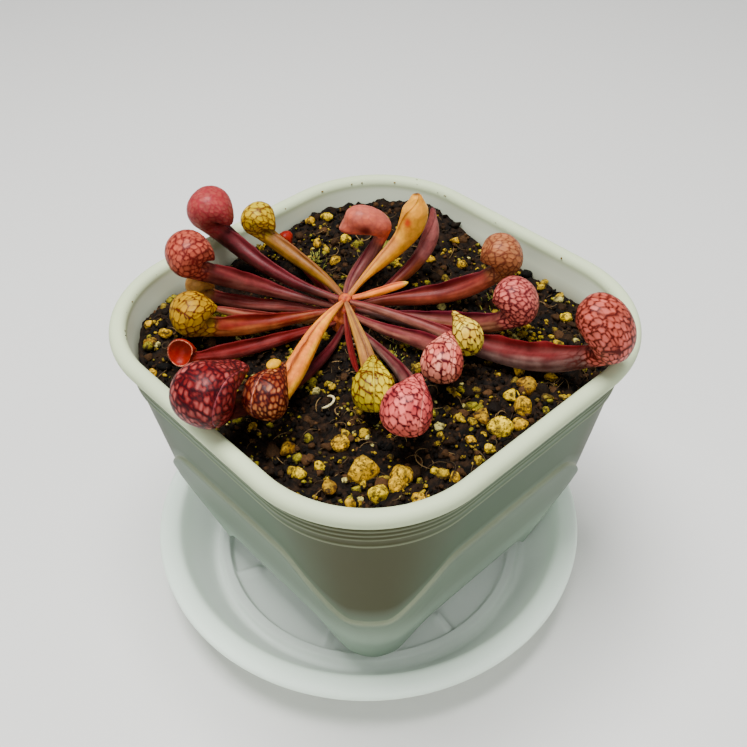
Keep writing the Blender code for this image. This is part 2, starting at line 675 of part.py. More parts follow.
def pitcher_rings(leaf, stem_cuts, steps, beak_steps, sides):
    """Every cross-section of one pitcher, from the crown to the tip of its beak."""
    ball = leaf["ball"]
    centre = np.array([CROWN_X, CROWN_Y, 0.0]) + compass(leaf["turn"], 0.0) * leaf["reach"]
    centre[2] = leaf["height"]
    heading_way = compass(leaf["heading"], leaf["climb"])
    side_end, up_end = frames(np.array([heading_way, heading_way]))
    side_end, up_end = side_end[-1], up_end[-1]
    tube_end = 0.42 * ball
    end = centre - heading_way * 1.2 * leaf["long"] * ball
    end = end - up_end * (leaf["tall"] * ball - tube_end)
    points, ways = stem_route(leaf, end, heading_way, stem_cuts)
    side, up = frames(ways)
    cuts = np.asarray(stem_cuts)
    half_high = tube_half(cuts, leaf["tube"], tube_end)
    half_wide = half_high * (1.0 + 0.12 * cuts)
    fin = 0.12 + leaf["wing"] * (ease(cuts, 0.14, 0.7) - 0.9 * ease(cuts, 0.84, 1.0))
    rings = []
    for k in range(len(cuts)):
        lift = up[k] * half_high[k]
        rings.append(section(points[k] - lift, points[k] + lift, side[k], half_wide[k],
                             fin[k], sides))
    outer, inner, half = hood_outline(leaf, steps, beak_steps)
    for k in range(len(outer)):
        low = centre + (heading_way * outer[k][0] + up_end * outer[k][1]) * ball
        high = centre + (heading_way * inner[k][0] + up_end * inner[k][1]) * ball
        ring = section(low, high, side_end, half[k] * ball, 0.10, sides)
        rings.append(raise_windows(ring, centre, k, sides, ball))
    return np.array(rings)


def raise_windows(ring, centre, number, sides, ball):
    """Puff out every other point of the hood, so that its windows stand between veins."""
    puff = np.zeros(len(ring))
    odd = (np.arange(sides) + number) % 2
    puff[:sides] = np.where(odd == 0, 0.022, -0.008) * ball
    away = ring - centre
    return ring + away / np.linalg.norm(away, axis=1)[:, None] * puff[:, None]


def shoot_rings(leaf, stem_cuts, sides):
    """Every cross-section of a hoodless shoot, which narrows to a blunt tip."""
    end = np.array([CROWN_X, CROWN_Y, 0.0]) + compass(leaf["turn"], 0.0) * leaf["reach"]
    end[2] = leaf["height"]
    heading_way = compass(leaf["heading"], leaf["climb"])
    points, ways = stem_route(leaf, end, heading_way, stem_cuts)
    side, up = frames(ways)
    cuts = np.asarray(stem_cuts)
    body = BASE_HALF + (leaf["tube"] - BASE_HALF) * ease(cuts, 0.04, 0.5)
    body = body + leaf["bulb"] * ease(cuts, 0.5, 0.8)
    narrow = ease(cuts, leaf["dome"], 1.0)
    half_high = body + (leaf["tip"] - body) * narrow
    half_high[-1] *= 0.55
    fin = 0.12 + leaf["wing"] * (ease(cuts, 0.08, 0.5) - 0.95 * ease(cuts, 0.7, 0.95))
    rings = []
    for k in range(len(cuts)):
        lift = up[k] * half_high[k]
        rings.append(section(points[k] - lift, points[k] + lift, side[k], half_high[k],
                             fin[k], sides))
    return np.array(rings)


STEM_CUTS = (0.0, 0.14, 0.32, 0.52, 0.74, 1.0)
SHOOT_CUTS = (0.0, 0.13, 0.28, 0.45, 0.62, 0.8, 0.93, 1.0)
LEAF_COLOURS = {
    "yellow": (0.42, 0.30, 0.05),
    "pink": (0.50, 0.12, 0.12),
    "dark_red": (0.17, 0.02, 0.03),
    "orange": (0.62, 0.20, 0.05),
    "tan": (0.50, 0.28, 0.12),
}
LEAF_HUES = {
    "pitcher_03": "tan", "pitcher_04": "yellow", "pitcher_06": "dark_red",
    "pitcher_07": "orange", "pitcher_08": "yellow", "pitcher_11": "yellow",
    "pitcher_15": "yellow", "pitcher_17": "yellow", "shoot_01": "orange",
    "shoot_02": "tan", "shoot_03": "dark_red", "shoot_04": "dark_red",
    "pitcher_05": "dark_red", "pitcher_18": "dark_red",
}


def all_leaf_rings():
    """The sections of every pitcher and shoot, by name."""
    shapes = {}
    for given in PITCHERS:
        leaf = {**USUAL, **given}
        steps = 8 if leaf["ball"] > 2.5 else 5
        shapes[leaf["name"]] = pitcher_rings(leaf, STEM_CUTS, steps, 3, 8)
    for given in SHOOTS:
        leaf = {**USUAL, **given}
        shapes[leaf["name"]] = shoot_rings(leaf, SHOOT_CUTS, 10 if leaf["bulb"] else 6)
    return shapes


def leaf_routes():
    """Close-set points all along the pitchers and shoots, which the soil keeps clear of."""
    cuts = np.linspace(0.0, 1.0, 19)
    points = []
    for given in PITCHERS:
        points.append(pitcher_rings({**USUAL, **given}, cuts, 8, 3, 8).reshape(-1, 3))
    for given in SHOOTS:
        points.append(shoot_rings({**USUAL, **given}, cuts, 6).reshape(-1, 3))
    return np.vstack(points)


def make_leaves(group, shapes):
    skins = {name: paint("leaf_" + name, colour, 0.35) for name, colour in LEAF_COLOURS.items()}
    for name, rings in shapes.items():
        skin = skins[LEAF_HUES.get(name, "pink")]
        add_object(name, loft(name, rings), group, skin, smooth_angle=60.0)


def main():
    clear_scene()
    group = new_collection("potted_parrot_pitcher_plant")
    new_collection("cutters")
    make_saucer(group)
    make_pot(group)
    make_soil(group, leaf_routes())
    make_crown(group)
    make_leaves(group, all_leaf_rings())


main()
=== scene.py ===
"""The looks of the potted parrot pitcher plant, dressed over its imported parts.

Lengths are in millimetres, as in the part, and MM turns them into metres where a mesh is
made.  Leaves, pot, saucer and soil are grids of points, ring after ring; crumbs and grains
are uneven balls, and fibres and moss are thin tubes.  All are worked out in whole arrays.
"""

import math

import bmesh
import bpy
import numpy as np
from mathutils import Matrix


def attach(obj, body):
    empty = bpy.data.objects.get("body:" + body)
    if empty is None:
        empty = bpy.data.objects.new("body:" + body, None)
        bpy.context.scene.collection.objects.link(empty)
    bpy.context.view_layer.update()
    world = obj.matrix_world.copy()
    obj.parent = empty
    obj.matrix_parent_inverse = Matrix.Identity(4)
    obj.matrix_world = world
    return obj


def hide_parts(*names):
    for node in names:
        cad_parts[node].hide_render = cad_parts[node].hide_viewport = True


MM = 0.001
UP = (0.0, 0.0, 1.0)

# The saucer and the pot, as in the part.
SAUCER_RADIUS, SAUCER_HEIGHT = 52.2, 14.4
SAUCER_FOOT_RADIUS, SAUCER_FLOOR, LIP_WIDTH = 38.0, 2.2, 5.6
RING_RADIUS, RING_WIDTH, RING_TOP = 36.9, 3.0, 4.2
RIB_COUNT, RIB_FIRST_DEG = 7, 158.0
RIB_INNER_RADIUS, RIB_WIDTH, RIB_TOP = 28.5, 1.8, 3.6
POT_X, POT_Y = 2.4, -0.4
POT_BASE, POT_TOP, WALL = 4.5, 75.9, 1.4
FLOOR_BELOW, FLOOR_TOP = 15.4, 17.2
DRAIN_AWAY, DRAIN_RADIUS = 17.0, 3.0
RIM_HALF, RIM_CORNER, RIM_WIDTH, RIM_ROLL = 47.5, 27.7, 3.6, 1.8
WALL_HEIGHTS = (POT_BASE, 33.4, 69.4)
WALL_HALVES = (30.3, 38.5, 45.05)
WALL_CORNERS = (10.0, 16.2, 26.2)
SHOULDER_HEIGHT, STEP_LINE = 71.6, 63.9
SKIRT_AT_CORNERS, SKIRT_RISE = 32.6, 15.5
FOOT_RISE, ARCH_RISE = 1.2, 8.8

# Heights of the fine ridges below the rim.
RIDGES = (66.6, 68.0, 69.4)

# How finely things are divided: the pot's corners and sides, the soil, a leaf's first
# tube, oval and beak, then its even steps, the points round a small and a large leaf and the
# rows of its rounded tip; the most windows in one net, and the waves in one ripple.
CORNER_CUTS, SIDE_CUTS = 26, 22
MARKS = 4 * (CORNER_CUTS + SIDE_CUTS)
SOIL_AROUND, SOIL_RINGS = 340, 124
TUBE_CUTS, OVAL_CUTS, BEAK_CUTS = 140, 90, 40
TUBE_STEP, HOOD_STEP, SMALL_AROUND, LARGE_AROUND, TIP_ROWS = 0.7, 0.19, 56, 74, 6
MOST_WINDOWS, WAVES = 900, 28

# The soil and the crown, as in the part, and how far scattered things spread from the pot's
# middle and keep from the crown's.
SOIL_LEVEL, SOIL_GAP = 67.4, 0.45
SOIL_SWELLS = ((0.42, 0.12, 0.05, 0.7), (0.34, -0.07, 0.13, 2.1),
               (0.26, 0.21, -0.17, 4.0), (0.18, 0.33, 0.29, 1.1))
HOLLOW_DEPTH, HOLLOW_RADIUS = 3.4, 14.0
BACK_BANK, BACK_BANK_WAY = 3.4, (0.55, 0.83)
LEFT_HEAP, LEFT_HEAP_RADIUS, LEFT_HEAP_PLACE = 5.2, 15.0, (-27.0, 31.0)
SETTLE_REACH, SETTLE_ROOM = 4.5, 1.0
CROWN_X, CROWN_Y, CROWN_TOP = POT_X + 1.5, POT_Y + 10.8, 73.3
WHORL_HEIGHTS, WHORL_RADII = (72.0, 69.4, 66.8), (1.9, 2.8, 3.5)
BASE_HALF = 0.6
SCATTER_HALF, CROWN_CLEAR = 44.0, 5.5

# No leaf stands higher than this, just under the top of the part's box.
HIGHEST = 91.7

# Leaves.  A hood's middle, or a shoot's tip, lies "turn" degrees round the crown, "reach"
# away from it and at "height"; "ball" is the hood's radius.  "heading" and "climb" say where
# the tube points as it runs in there, "leave" where it leaves the crown, and "whorl" at which
# of the three heights.  "cell" is the size of the windows between the veins.
COLUMNS = ("turn", "reach", "height", "ball", "heading", "climb", "leave", "whorl", "coat",
           "cell")

# What a row may set otherwise: the tube's and the wing's height, how the tube climbs, bends
# and sags, stretches of the hood, how far its point reaches back over the tube and how high,
# in hood radii, where its oval closes and how blunt its point is; where on the hood a raised
# seam runs, in degrees round from the outer line, how far the net runs on to the tube, how
# far from its veins, in windows, it starts to turn pale, and how strongly it shows; the way,
# climb and level of a dent that opens a hood like an ear, and patches of another colour,
# each with its place and size.
USUAL = dict(tube=1.5, wing=1.2, leave_climb=0.0, bend=0.36, sag=0.0, tall=1.0, wide=1.0,
             long=1.0, beak=(-1.15, 0.3), close=96.0, blunt=0.0, crest=None, net_reach=0.5,
             small=0.0, faint=1.0, dent=None, patches=(), bulb=0.0, dome=0.7)
PITCHERS = {
    "pitcher_01": (107, 35.0, 84.4, 5.0, 118, 40, 120, 0, "rose", 0.72,
                   dict(leave_climb=7, net_reach=1.5, faint=0.7, blunt=0.2)),
    "pitcher_02": (133, 33.3, 83.0, 5.0, 158, 34, 116, 1, "ember", 0.8,
                   dict(tube=1.4, leave_climb=1, bend=0.42, net_reach=1.5, small=0.05,
                        blunt=0.2)),
    "pitcher_03": (126, 33.6, 71.8, 3.1, 128, 20, 112, 2, "fawn", 0.9,
                   dict(tube=1.2, wing=0.8, leave_climb=2, faint=0.25)),
    "pitcher_04": (153, 33.2, 75.8, 4.7, 156, 22, 150, 1, "amber", 1.08,
                   dict(wing=1.4, beak=(-1.0, 0.6), crest=38.0, net_reach=6.0)),
    "pitcher_05": (166, 38.0, 73.2, 2.8, 167, 20, 172, 2, "scarlet", 0.9,
                   dict(tube=1.3, leave_climb=12, faint=0.35, dent=(222.0, 34.0, 0.3))),
    "pitcher_06": (197, 48.0, 83.4, 6.1, 198, 31, 216, 2, "garnet", 0.82,
                   dict(wing=0.8, beak=(-1.75, 0.85), leave_climb=4, sag=3.0, crest=-52.0,
                        net_reach=1.5, small=0.12, blunt=0.3)),
    "pitcher_07": (207, 40.1, 79.0, 4.5, 208, 14, 193, 0, "peach", 0.68,
                   dict(tube=1.9, wing=1.0, beak=(-1.85, 0.75), crest=14.0, net_reach=1.0,
                        small=0.1)),
    "pitcher_08": (238, 32.4, 74.8, 4.4, 228, 12, 240, 0, "lime", 0.92,
                   dict(tube=1.4, wing=0.5, beak=(-1.95, 0.75), leave_climb=4, crest=0.0)),
    "pitcher_09": (244, 42.3, 77.8, 5.0, 212, 20, 258, 2, "blush", 0.86,
                   dict(tube=1.3, wing=0.8, beak=(-1.9, 0.8), leave_climb=8, crest=-40.0,
                        net_reach=1.0)),
    "pitcher_10": (265, 32.1, 76.0, 4.3, 214, 16, 266, 1, "frost", 0.92,
                   dict(long=1.1, beak=(-1.85, 0.85), leave_climb=4, crest=-34.0,
                        net_reach=1.0)),
    "pitcher_11": (283, 30.6, 75.2, 3.4, 244, 20, 286, 0, "straw", 0.92,
                   dict(tube=1.1, wing=0.5, tall=1.15, wide=0.94, beak=(-2.3, 1.1),
                        leave_climb=8, bend=0.26, crest=-58.0)),
    "pitcher_12": (289, 56.9, 85.4, 5.2, 283, 36, 308, 1, "coral", 0.78,
                   dict(tube=2.1, wing=2.0, tall=1.4, beak=(-0.95, 0.6), sag=2.4,
                        leave_climb=-4, net_reach=11.0, small=0.03)),
    "pitcher_13": (304, 37.0, 77.6, 4.6, 300, 32, 325, 2, "rosewood", 0.74,
                   dict(tube=1.6, wing=1.5, tall=1.2, beak=(-0.95, 0.5), leave_climb=4,
                        net_reach=4.0, small=0.03)),
    "pitcher_14": (324, 34.4, 80.4, 4.5, 318, 38, 340, 1, "russet", 0.8,
                   dict(tube=1.7, wing=1.7, tall=1.1, beak=(-0.9, 0.5), sag=1.0,
                        net_reach=3.0, faint=0.85)),
    # pitcher_16's dark patch lies in its mouth: painted shade in the opening.
    "pitcher_16": (27, 15.3, 82.6, 3.3, 317, 66, 50, 1, "dusk", 0.8,
                   dict(wing=0.5, tall=1.7, close=105.0, beak=(-1.0, 1.7), leave_climb=10,
                        faint=0.3, blunt=0.62, patches=(((14.9, 15.5, 82.2), 1.3, "#4A0A0C"),))),
    "pitcher_17": (95, 26.5, 81.4, 3.9, 108, 28, 75, 0, "moss", 0.8,
                   dict(tube=1.4, wing=0.8, net_reach=1.0)),
    "pitcher_18": (80, 26.3, 73.2, 1.8, 80, 20, 75, 2, "scarlet", 0.9,
                   dict(tube=0.9, wing=0.4, leave_climb=12, faint=0.3)),
}

# Young pitchers whose hood is still folded upright, as a bulb of "bulb" more radius that
# closes from the share "dome" of their length on, and shoots that only narrow to a tip.
# "tip" is half their height there.  Their "ball" isn't a radius: it sets how finely they are
# divided and how much of a bulb's tip is dark.
SHOOTS = {
    "pitcher_15": (358, 20.9, 90.2, 2.0, 70, 84, 14, 0, "apricot", 1.2,
                   dict(tube=1.9, wing=0.4, tip=1.1, bulb=1.0, dome=0.88, leave_climb=18,
                        bend=0.5, faint=0.15, patches=(((20.8, 8.6, 84.9), 1.1, "#B0280E"),
                                                       ((24.7, 9.6, 90.3), 0.6, "#2A120A")))),
    "shoot_01": (325, 14.0, 75.0, 2.0, 330, 10, 331, 0, "flame", 1.0,
                 dict(tube=0.85, wing=0.3, tip=0.8,
                      patches=(((15.4, 2.4, 75.0), 1.2, "#EEC640"),))),
    "shoot_02": (140, 29.5, 71.4, 2.0, 138, 20, 143, 2, "copper", 1.0,
                 dict(tube=1.2, wing=0.4, tip=0.7)),
    "shoot_03": (358, 26.0, 84.5, 2.0, 80, 80, 357, 2, "plum", 0.9,
                 dict(tube=1.6, wing=0.6, tip=0.6, bulb=0.3, dome=0.8, leave_climb=16,
                      bend=0.46, net_reach=0.0, faint=0.2)),
    "shoot_04": (235, 20.5, 68.8, 2.0, 238, 20, 230, 1, "scarlet", 1.0,
                 dict(tube=0.75, wing=0.3, tip=0.45, leave_climb=-4)),
}

# Coats: the slot, then the pale and the deep window, the vein, the tube's pale and dark
# streaks, the wing and the seam.  The pale window and the tube's pale streak also carry the
# painted light on a leaf's upper side, and the deep window the painted shade on its lower side.
COATS = {
    "rose": "leaf_pink #8C3F3A #933733 #801826 #44201C #240B09 #5A1A20 #B4646A",
    "ember": "leaf_pink #B4543E #9C4634 #5E1614 #77443A #431815 #5E181C #C0685E",
    "fawn": "leaf_tan #B8863E #A87034 #82482C #B0685E #7A302C #641416 #B4884E",
    "amber": "leaf_yellow #AC8204 #946C04 #481808 #B06A38 #6E2210 #621410 #B04C30",
    "scarlet": "leaf_dark_red #7E1901 #7A0B05 #680309 #8C403C #5A1210 #5A1010 #C88060",
    "garnet": "leaf_dark_red #B85E56 #600508 #28040A #763634 #3C1216 #480E14 #A05058",
    "peach": "leaf_orange #BC7844 #621404 #2E0606 #FFC424 #F28A1A #C86A38 #C8806C",
    "lime": "leaf_yellow #E6CC02 #948200 #4A1A04 #E4A844 #9A682A #7E5236 #B8A83C",
    "blush": "leaf_pink #FF7A6E #9A2A2E #480810 #8E7060 #543A34 #581820 #C87C70",
    "frost": "leaf_pink #FFA288 #AE2E28 #480810 #A86C58 #6A3630 #5E1620 #BC5454",
    "straw": "leaf_yellow #FAE650 #C89A1C #441208 #A06C58 #6C3A30 #682024 #D69C4C",
    "coral": "leaf_pink #D0665C #96402E #4A0E0A #7E6058 #482A28 #641416 #B4604E",
    "rosewood": "leaf_pink #E07464 #A84E48 #541418 #B07A54 #683E2A #561420 #B4646A",
    "russet": "leaf_pink #A8643C #925C38 #562218 #A85038 #642214 #561016 #A8604E",
    "apricot": "leaf_yellow #EBA52A #BC7212 #7A2E04 #E69C06 #BC7A03 #B06C3C #D8A070",
    "plum": "leaf_dark_red #985650 #783638 #4E161C #924E28 #5E2916 #561A1E #A46A6C",
    "dusk": "leaf_pink #BA563C #9A5042 #763036 #905A48 #603430 #5C2026 #B07A7A",
    "moss": "leaf_yellow #BB8802 #B09E02 #5E380C #986818 #6C480A #7C4A24 #B0A232",
    "flame": "leaf_orange #F4CC40 #F08C30 #B85020 #FFA81E #F87018 #B85430 #F4CC60",
    "copper": "leaf_tan #B87A44 #96562E #6E2E20 #BC8850 #884630 #68241E #B87A44",
}

# Large grains on the soil: place and radius.
GRAINS = (
    (-31.5, -12.7, 1.9), (-23.6, -18.5, 1.9), (-25.4, -26.7, 2.7), (-20.2, -31.6, 2.5),
    (-26.7, -32.4, 1.9), (-22.2, -33.1, 1.7), (2.3, -31.7, 1.7), (2.6, -36.2, 2.5),
    (6.0, -38.4, 1.9), (9.9, -35.9, 1.9), (15.1, -32.5, 2.1), (10.9, -32.1, 1.5),
    (-17.7, 17.3, 1.5), (-21.3, 17.5, 1.3), (-31.6, 34.2, 1.3), (-34.2, 30.0, 1.3),
    (-30.5, 29.6, 1.3), (-38.2, 24.1, 1.1), (25.4, -28.7, 1.3), (38.4, -24.1, 1.3),
    (23.5, 39.2, 1.3), (21.8, 30.7, 1.5), (15.8, 33.7, 1.3), (15.5, 27.1, 1.3),
    (19.3, 40.8, 1.1), (41.0, 12.1, 1.1), (36.3, 5.3, 1.3), (31.7, 11.4, 1.3),
    (19.2, -27.1, 1.3), (20.9, -34.3, 1.3), (-3.0, -38.6, 1.3), (-4.2, -34.5, 1.1),
    (-30.2, -20.3, 1.3), (-34.2, -19.2, 1.5), (-32.4, -25.6, 1.3), (-13.4, -39.2, 1.3),
    (-14.5, -35.3, 1.1), (-21.8, -38.4, 1.3), (-32.3, -31.0, 1.1), (-32.7, -2.7, 1.1),
)

# Moss tufts: place and radius.
MOSS = ((-2.0, -2.0, 3.0), (2.0, -5.5, 3.2), (28.0, -14.0, 3.5), (33.0, -9.0, 3.0),
        (24.0, -20.0, 2.5), (8.0, -17.0, 2.5), (-14.0, 22.0, 2.5), (12.0, 30.0, 3.0),
        (27.0, 22.0, 3.0), (-28.0, 12.0, 2.2), (17.0, -9.0, 2.0), (-8.0, -22.0, 2.0))

# Scraps: middle, radius, first direction, sweep in degrees, how far the middle rises, colour.
LITTER = ((0.6, 4.4, 1.4, 20.0, 300.0, 0.5, "#D8B888"),
          (-17.7, -7.6, 1.7, 200.0, 200.0, 0.9, "#D8C890"),
          (-1.6, 0.6, 1.6, 60.0, 110.0, 0.6, "#C8641E"),
          (12.5, -1.5, 1.8, 320.0, 90.0, 0.5, "#B8561C"))

# A small folded bud that leans on a hood: middle and half lengths.
BUD_PLACE, BUD_HALVES = (-27.1, -4.4, 81.9), (1.5, 1.2, 0.9)

# Lamps, in metres and watts: place, the point that each faces, size and power.
LAMPS = {"top_light": ((-0.04, 0.04, 0.64), (0.0, 0.0, 0.05), 0.32, 9.0),
         "left_light": ((-0.6, -0.25, 0.4), (0.0, 0.0, 0.04), 0.5, 2.4),
         "right_light": ((0.45, -0.5, 0.34), (0.0, 0.0, 0.02), 0.5, 1.3)}

# Camera: where it stood and the point it looked at, from the fit to the rim and the saucer,
# then its roll, and its lens and sensor in millimetres.
CAMERA_PLACE = (-104.03, -115.85, 202.95)
CAMERA_AIM = (2.22, -0.24, 58.05)
CAMERA_ROLL_DEG, LENS, SENSOR = -0.88, 46.28, 36.0

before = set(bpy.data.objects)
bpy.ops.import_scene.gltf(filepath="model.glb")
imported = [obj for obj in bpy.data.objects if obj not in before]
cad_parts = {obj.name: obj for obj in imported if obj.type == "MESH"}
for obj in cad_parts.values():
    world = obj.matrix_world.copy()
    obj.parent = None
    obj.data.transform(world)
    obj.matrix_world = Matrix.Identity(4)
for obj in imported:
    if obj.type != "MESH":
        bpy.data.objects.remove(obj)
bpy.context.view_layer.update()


def linear(code):
    """An sRGB hex colour as linear red, green and blue, with alpha 1: each part over 12.92 up
    to 0.04045, and above it with 0.055 added, over 1.055 and raised to 2.4."""
    parts = np.array([int(code[k:k + 2], 16) / 255.0 for k in (1, 3, 5)])
    curve = np.where(parts <= 0.04045, parts / 12.92, ((parts + 0.055) / 1.055) ** 2.4)
    return (*curve.tolist(), 1.0)


def tints(codes):
    """Linear red, green and blue of hex colours, one row each."""
    return np.array([linear(code)[:3] for code in codes])


def mix(first, second, share):
    """first where share is 0, second where it is 1, in step with share between them.  Either
    is an array of linear colours or one hex colour."""
    first, second = [np.array(linear(part)[:3]) if isinstance(part, str) else part
                     for part in (first, second)]
    share = np.asarray(share)[..., None]
    return first * (1.0 - share) + second * share


def ease(value, start, end):
    """Rise smoothly from 0 at start to 1 at end, level outside them: three times the square
    of the share less twice its cube."""
    share = np.clip((value - start) / (end - start), 0.0, 1.0)
    return share * share * (3.0 - 2.0 * share)


def lengths(vectors):
    """Each vector's length: the root of the sum of its squares."""
    return np.sqrt((vectors * vectors).sum(axis=-1))


def units(vectors):
    """Each vector divided by its own length."""
    return vectors / np.maximum(lengths(vectors), 1e-9)[..., None]


def travel(line):
    """How far along a line of points each of them lies: the sum of the steps up to it."""
    return np.concatenate([[0.0], np.cumsum(lengths(np.diff(line, axis=0)))])


def compass(turn, climb=0.0):
    """The direction "turn" degrees round from +X, raised "climb" degrees above level."""
    turn, climb = math.radians(turn), math.radians(climb)
    level = math.cos(climb)
    return np.array([math.cos(turn) * level, math.sin(turn) * level, math.sin(climb)])


def ripple(points, size, seed):
    """An even, aimless unevenness: the mean of waves about "size" long in random directions,
    scaled so that it mostly lies between -1 and 1."""
    draw = np.random.default_rng(seed)
    ways = units(draw.normal(size=(WAVES, points.shape[-1])))
    steps = ways * (math.tau / size) * draw.uniform(0.6, 1.6, (WAVES, 1))
    waves = np.cos(points @ steps.T + draw.uniform(0.0, math.tau, WAVES))
    return waves.sum(-1) / math.sqrt(WAVES)


def connect(tree, target, links):
    """Feed each named input from a socket, or from a node's first output."""
    for name, source in links.items():
        tree.links.new(getattr(source, "outputs", [source])[0], target.inputs[name])


def node(tree, kind, settings=None, links=None):
    """Add one node: settings are its properties or input values, links are its inputs' sources."""
    made = tree.nodes.new("ShaderNode" + kind)
    for name, value in (settings or {}).items():
        if isinstance(name, str) and hasattr(made, name):
            setattr(made, name, value)
        else:
            made.inputs[name].default_value = value
    connect(tree, made, links or {})
    return made


def new_material(name, roughness, **values):
    """A material with its Principled shader, whose plain numbers are set on its own sockets."""
    material = bpy.data.materials.new(name)
    material.use_nodes = True
    tree = material.node_tree
    shader = tree.nodes["Principled BSDF"]
    for key, value in {"Roughness": roughness, **values}.items():
        shader.inputs[key.replace("_", " ")].default_value = value
    return material, tree, shader


def point_place(tree):
    """The place of each point, to which a material's patterns are tied."""
    return {"Vector": node(tree, "TexCoord").outputs["Object"]}


def shaded(tree, colour, noise, low, high, darkest, lightest):
    """The colour made darker or lighter with a noise: darkest where the noise is "low" and
    lightest where it is "high"."""
    value = node(tree, "MapRange", {"From Min": low, "From Max": high, "To Min": darkest,
                                    "To Max": lightest}, {"Value": noise})
    return node(tree, "HueSaturation", None, {"Value": value, "Color": colour})


def put(name, data):
    """A new object, linked to the scene."""
    item = bpy.data.objects.new(name, data)
    bpy.context.scene.collection.objects.link(item)
    return item


def surface(name, points, faces, material, slot="potting_mix", replaces=None, net=None,
            **colours):
    """A smooth mesh that rides on the body, from points in millimetres and arrays of faces,
    or from a grid of closed rings alone, with its net and colours kept point by point."""
    groups = faces or ring_faces(*points.shape[:2])
    points = points.reshape(-1, 3)
    mesh = bpy.data.meshes.new(name)
    mesh.vertices.add(len(points))
    mesh.vertices.foreach_set("co", (points * MM).astype(np.float32).ravel())
    corners = np.concatenate([group.ravel() for group in groups])
    sizes = np.concatenate([np.full(len(group), group.shape[1]) for group in groups])
    mesh.loops.add(len(corners))
    mesh.loops.foreach_set("vertex_index", corners.astype(np.int32))
    mesh.polygons.add(len(sizes))
    mesh.polygons.foreach_set("loop_start", (np.cumsum(sizes) - sizes).astype(np.int32))
    mesh.update(calc_edges=True)
    mesh.validate()
    mesh.polygons.foreach_set("use_smooth", np.ones(len(mesh.polygons), bool))
    for key, values in colours.items():
        layer = mesh.color_attributes.new(key, "FLOAT_COLOR", "POINT")
        full = np.column_stack([values.reshape(-1, 3), np.ones(len(points))])
        layer.data.foreach_set("color", full.astype(np.float32).ravel())
    if net is not None:
        layer = mesh.attributes.new("net", "FLOAT", "POINT")
        even = np.broadcast_to(np.ravel(net), len(points))
        layer.data.foreach_set("value", even.astype(np.float32))
    mesh.materials.append(material)
    piece = put(name, mesh)
    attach(piece, "root")
    if replaces:
        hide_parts(replaces)
    return piece


def ring_faces(rings, around):
    """Four-sided faces between closed rings of equally many points, facing out when the
    rings climb and run anticlockwise, with a many-sided face at each end."""
    low, k = np.meshgrid(np.arange(rings - 1) * around, np.arange(around), indexing="ij")
    after = (k + 1) % around
    walls = np.stack([low + k, low + after, low + around + after, low + around + k], -1)
    end = np.arange(around)
    return [walls.reshape(-1, 4), end[::-1][None], ((rings - 1) * around + end)[None]]


def reached(leaf):
    """Where the leaf's hood or tip lies, and the direction in which its tube runs in."""
    place = np.array([CROWN_X, CROWN_Y, 0.0]) + compass(leaf["turn"]) * leaf["reach"]
    place[2] = leaf["height"]
    return place, compass(leaf["heading"], leaf["climb"])


def route(leaf, end, heading, cuts):
    """Points, sideways and upward directions along a tube: one cubic curve from the crown,
    whose inner points lie "bend" of the span along the directions at its ends."""
    start = np.array([CROWN_X, CROWN_Y, WHORL_HEIGHTS[leaf["whorl"]]])
    start = start + compass(leaf["leave"]) * WHORL_RADII[leaf["whorl"]]
    span = lengths(end - start)
    first = start + compass(leaf["leave"], leaf["leave_climb"]) * span * leaf["bend"]
    second = end - heading * span * leaf["bend"] - np.array([0.0, 0.0, leaf["sag"]])
    s = cuts[:, None]
    r = 1.0 - s
    points = r**3 * start + 3 * r * r * s * first + 3 * r * s * s * second + s**3 * end
    ways = units(r * r * (first - start) + 2 * r * s * (second - first) + s * s * (end - second))
    side = units(np.cross(ways, UP))
    return points, side, np.cross(side, ways)


def hood_outline(leaf):
    """Outer and inner points of the hood's sections in hood radii, with their half widths.

    X runs on along the tube and Y up from it.  The outer points go round an oval and then
    along a curve to the beak; the inner ones stay by the mouth, under the beak.
    """
    long_, tall, wide = leaf["long"], leaf["tall"], leaf["wide"]
    tube_top = -tall + 0.84
    near = np.array([-0.72 * long_, tube_top - 0.02])
    mouth = np.array([-0.60 * long_, tube_top + 0.16])
    angles = np.linspace(-100.0, leaf["close"], OVAL_CUTS)
    turn = np.radians(angles)
    outer = np.stack([long_ * np.cos(turn), tall * np.sin(turn)], -1)
    inner = near + (mouth - near) * ((angles + 100.0) / (leaf["close"] + 100.0))[:, None]
    middle = (outer + inner) / 2
    room = 1.0 - (middle[:, 0] / long_) ** 2 - (middle[:, 1] / tall) ** 2
    half = wide * np.sqrt(np.maximum(room, 0.08))
    last = outer[-1]
    way = units(np.array([-long_ * math.sin(turn[-1]), tall * math.cos(turn[-1])]))
    point = np.array(leaf["beak"])
    bend = last + way * 0.45 * lengths(point - last)
    inward = units(point - mouth)
    thick = max(0.17, 0.8 * leaf["blunt"])
    under = point + thick * np.array([-inward[1], inward[0]]) - 0.05 * inward
    s = np.linspace(0.0, 1.0, BEAK_CUTS + 1)[1:, None]
    r = 1.0 - s
    beak = r * r * last + 2 * r * s * bend + s * s * point
    outer = np.vstack([[(-0.8 * long_, -tall)], outer, beak])
    inner = np.vstack([[(-0.95 * long_, tube_top)], inner, mouth + (under - mouth) * s])
    tip = max(0.09, leaf["blunt"])
    half = np.concatenate([[0.56 * wide], half, half[-1] * r[:, 0] + tip * s[:, 0]])
    return outer, inner, half


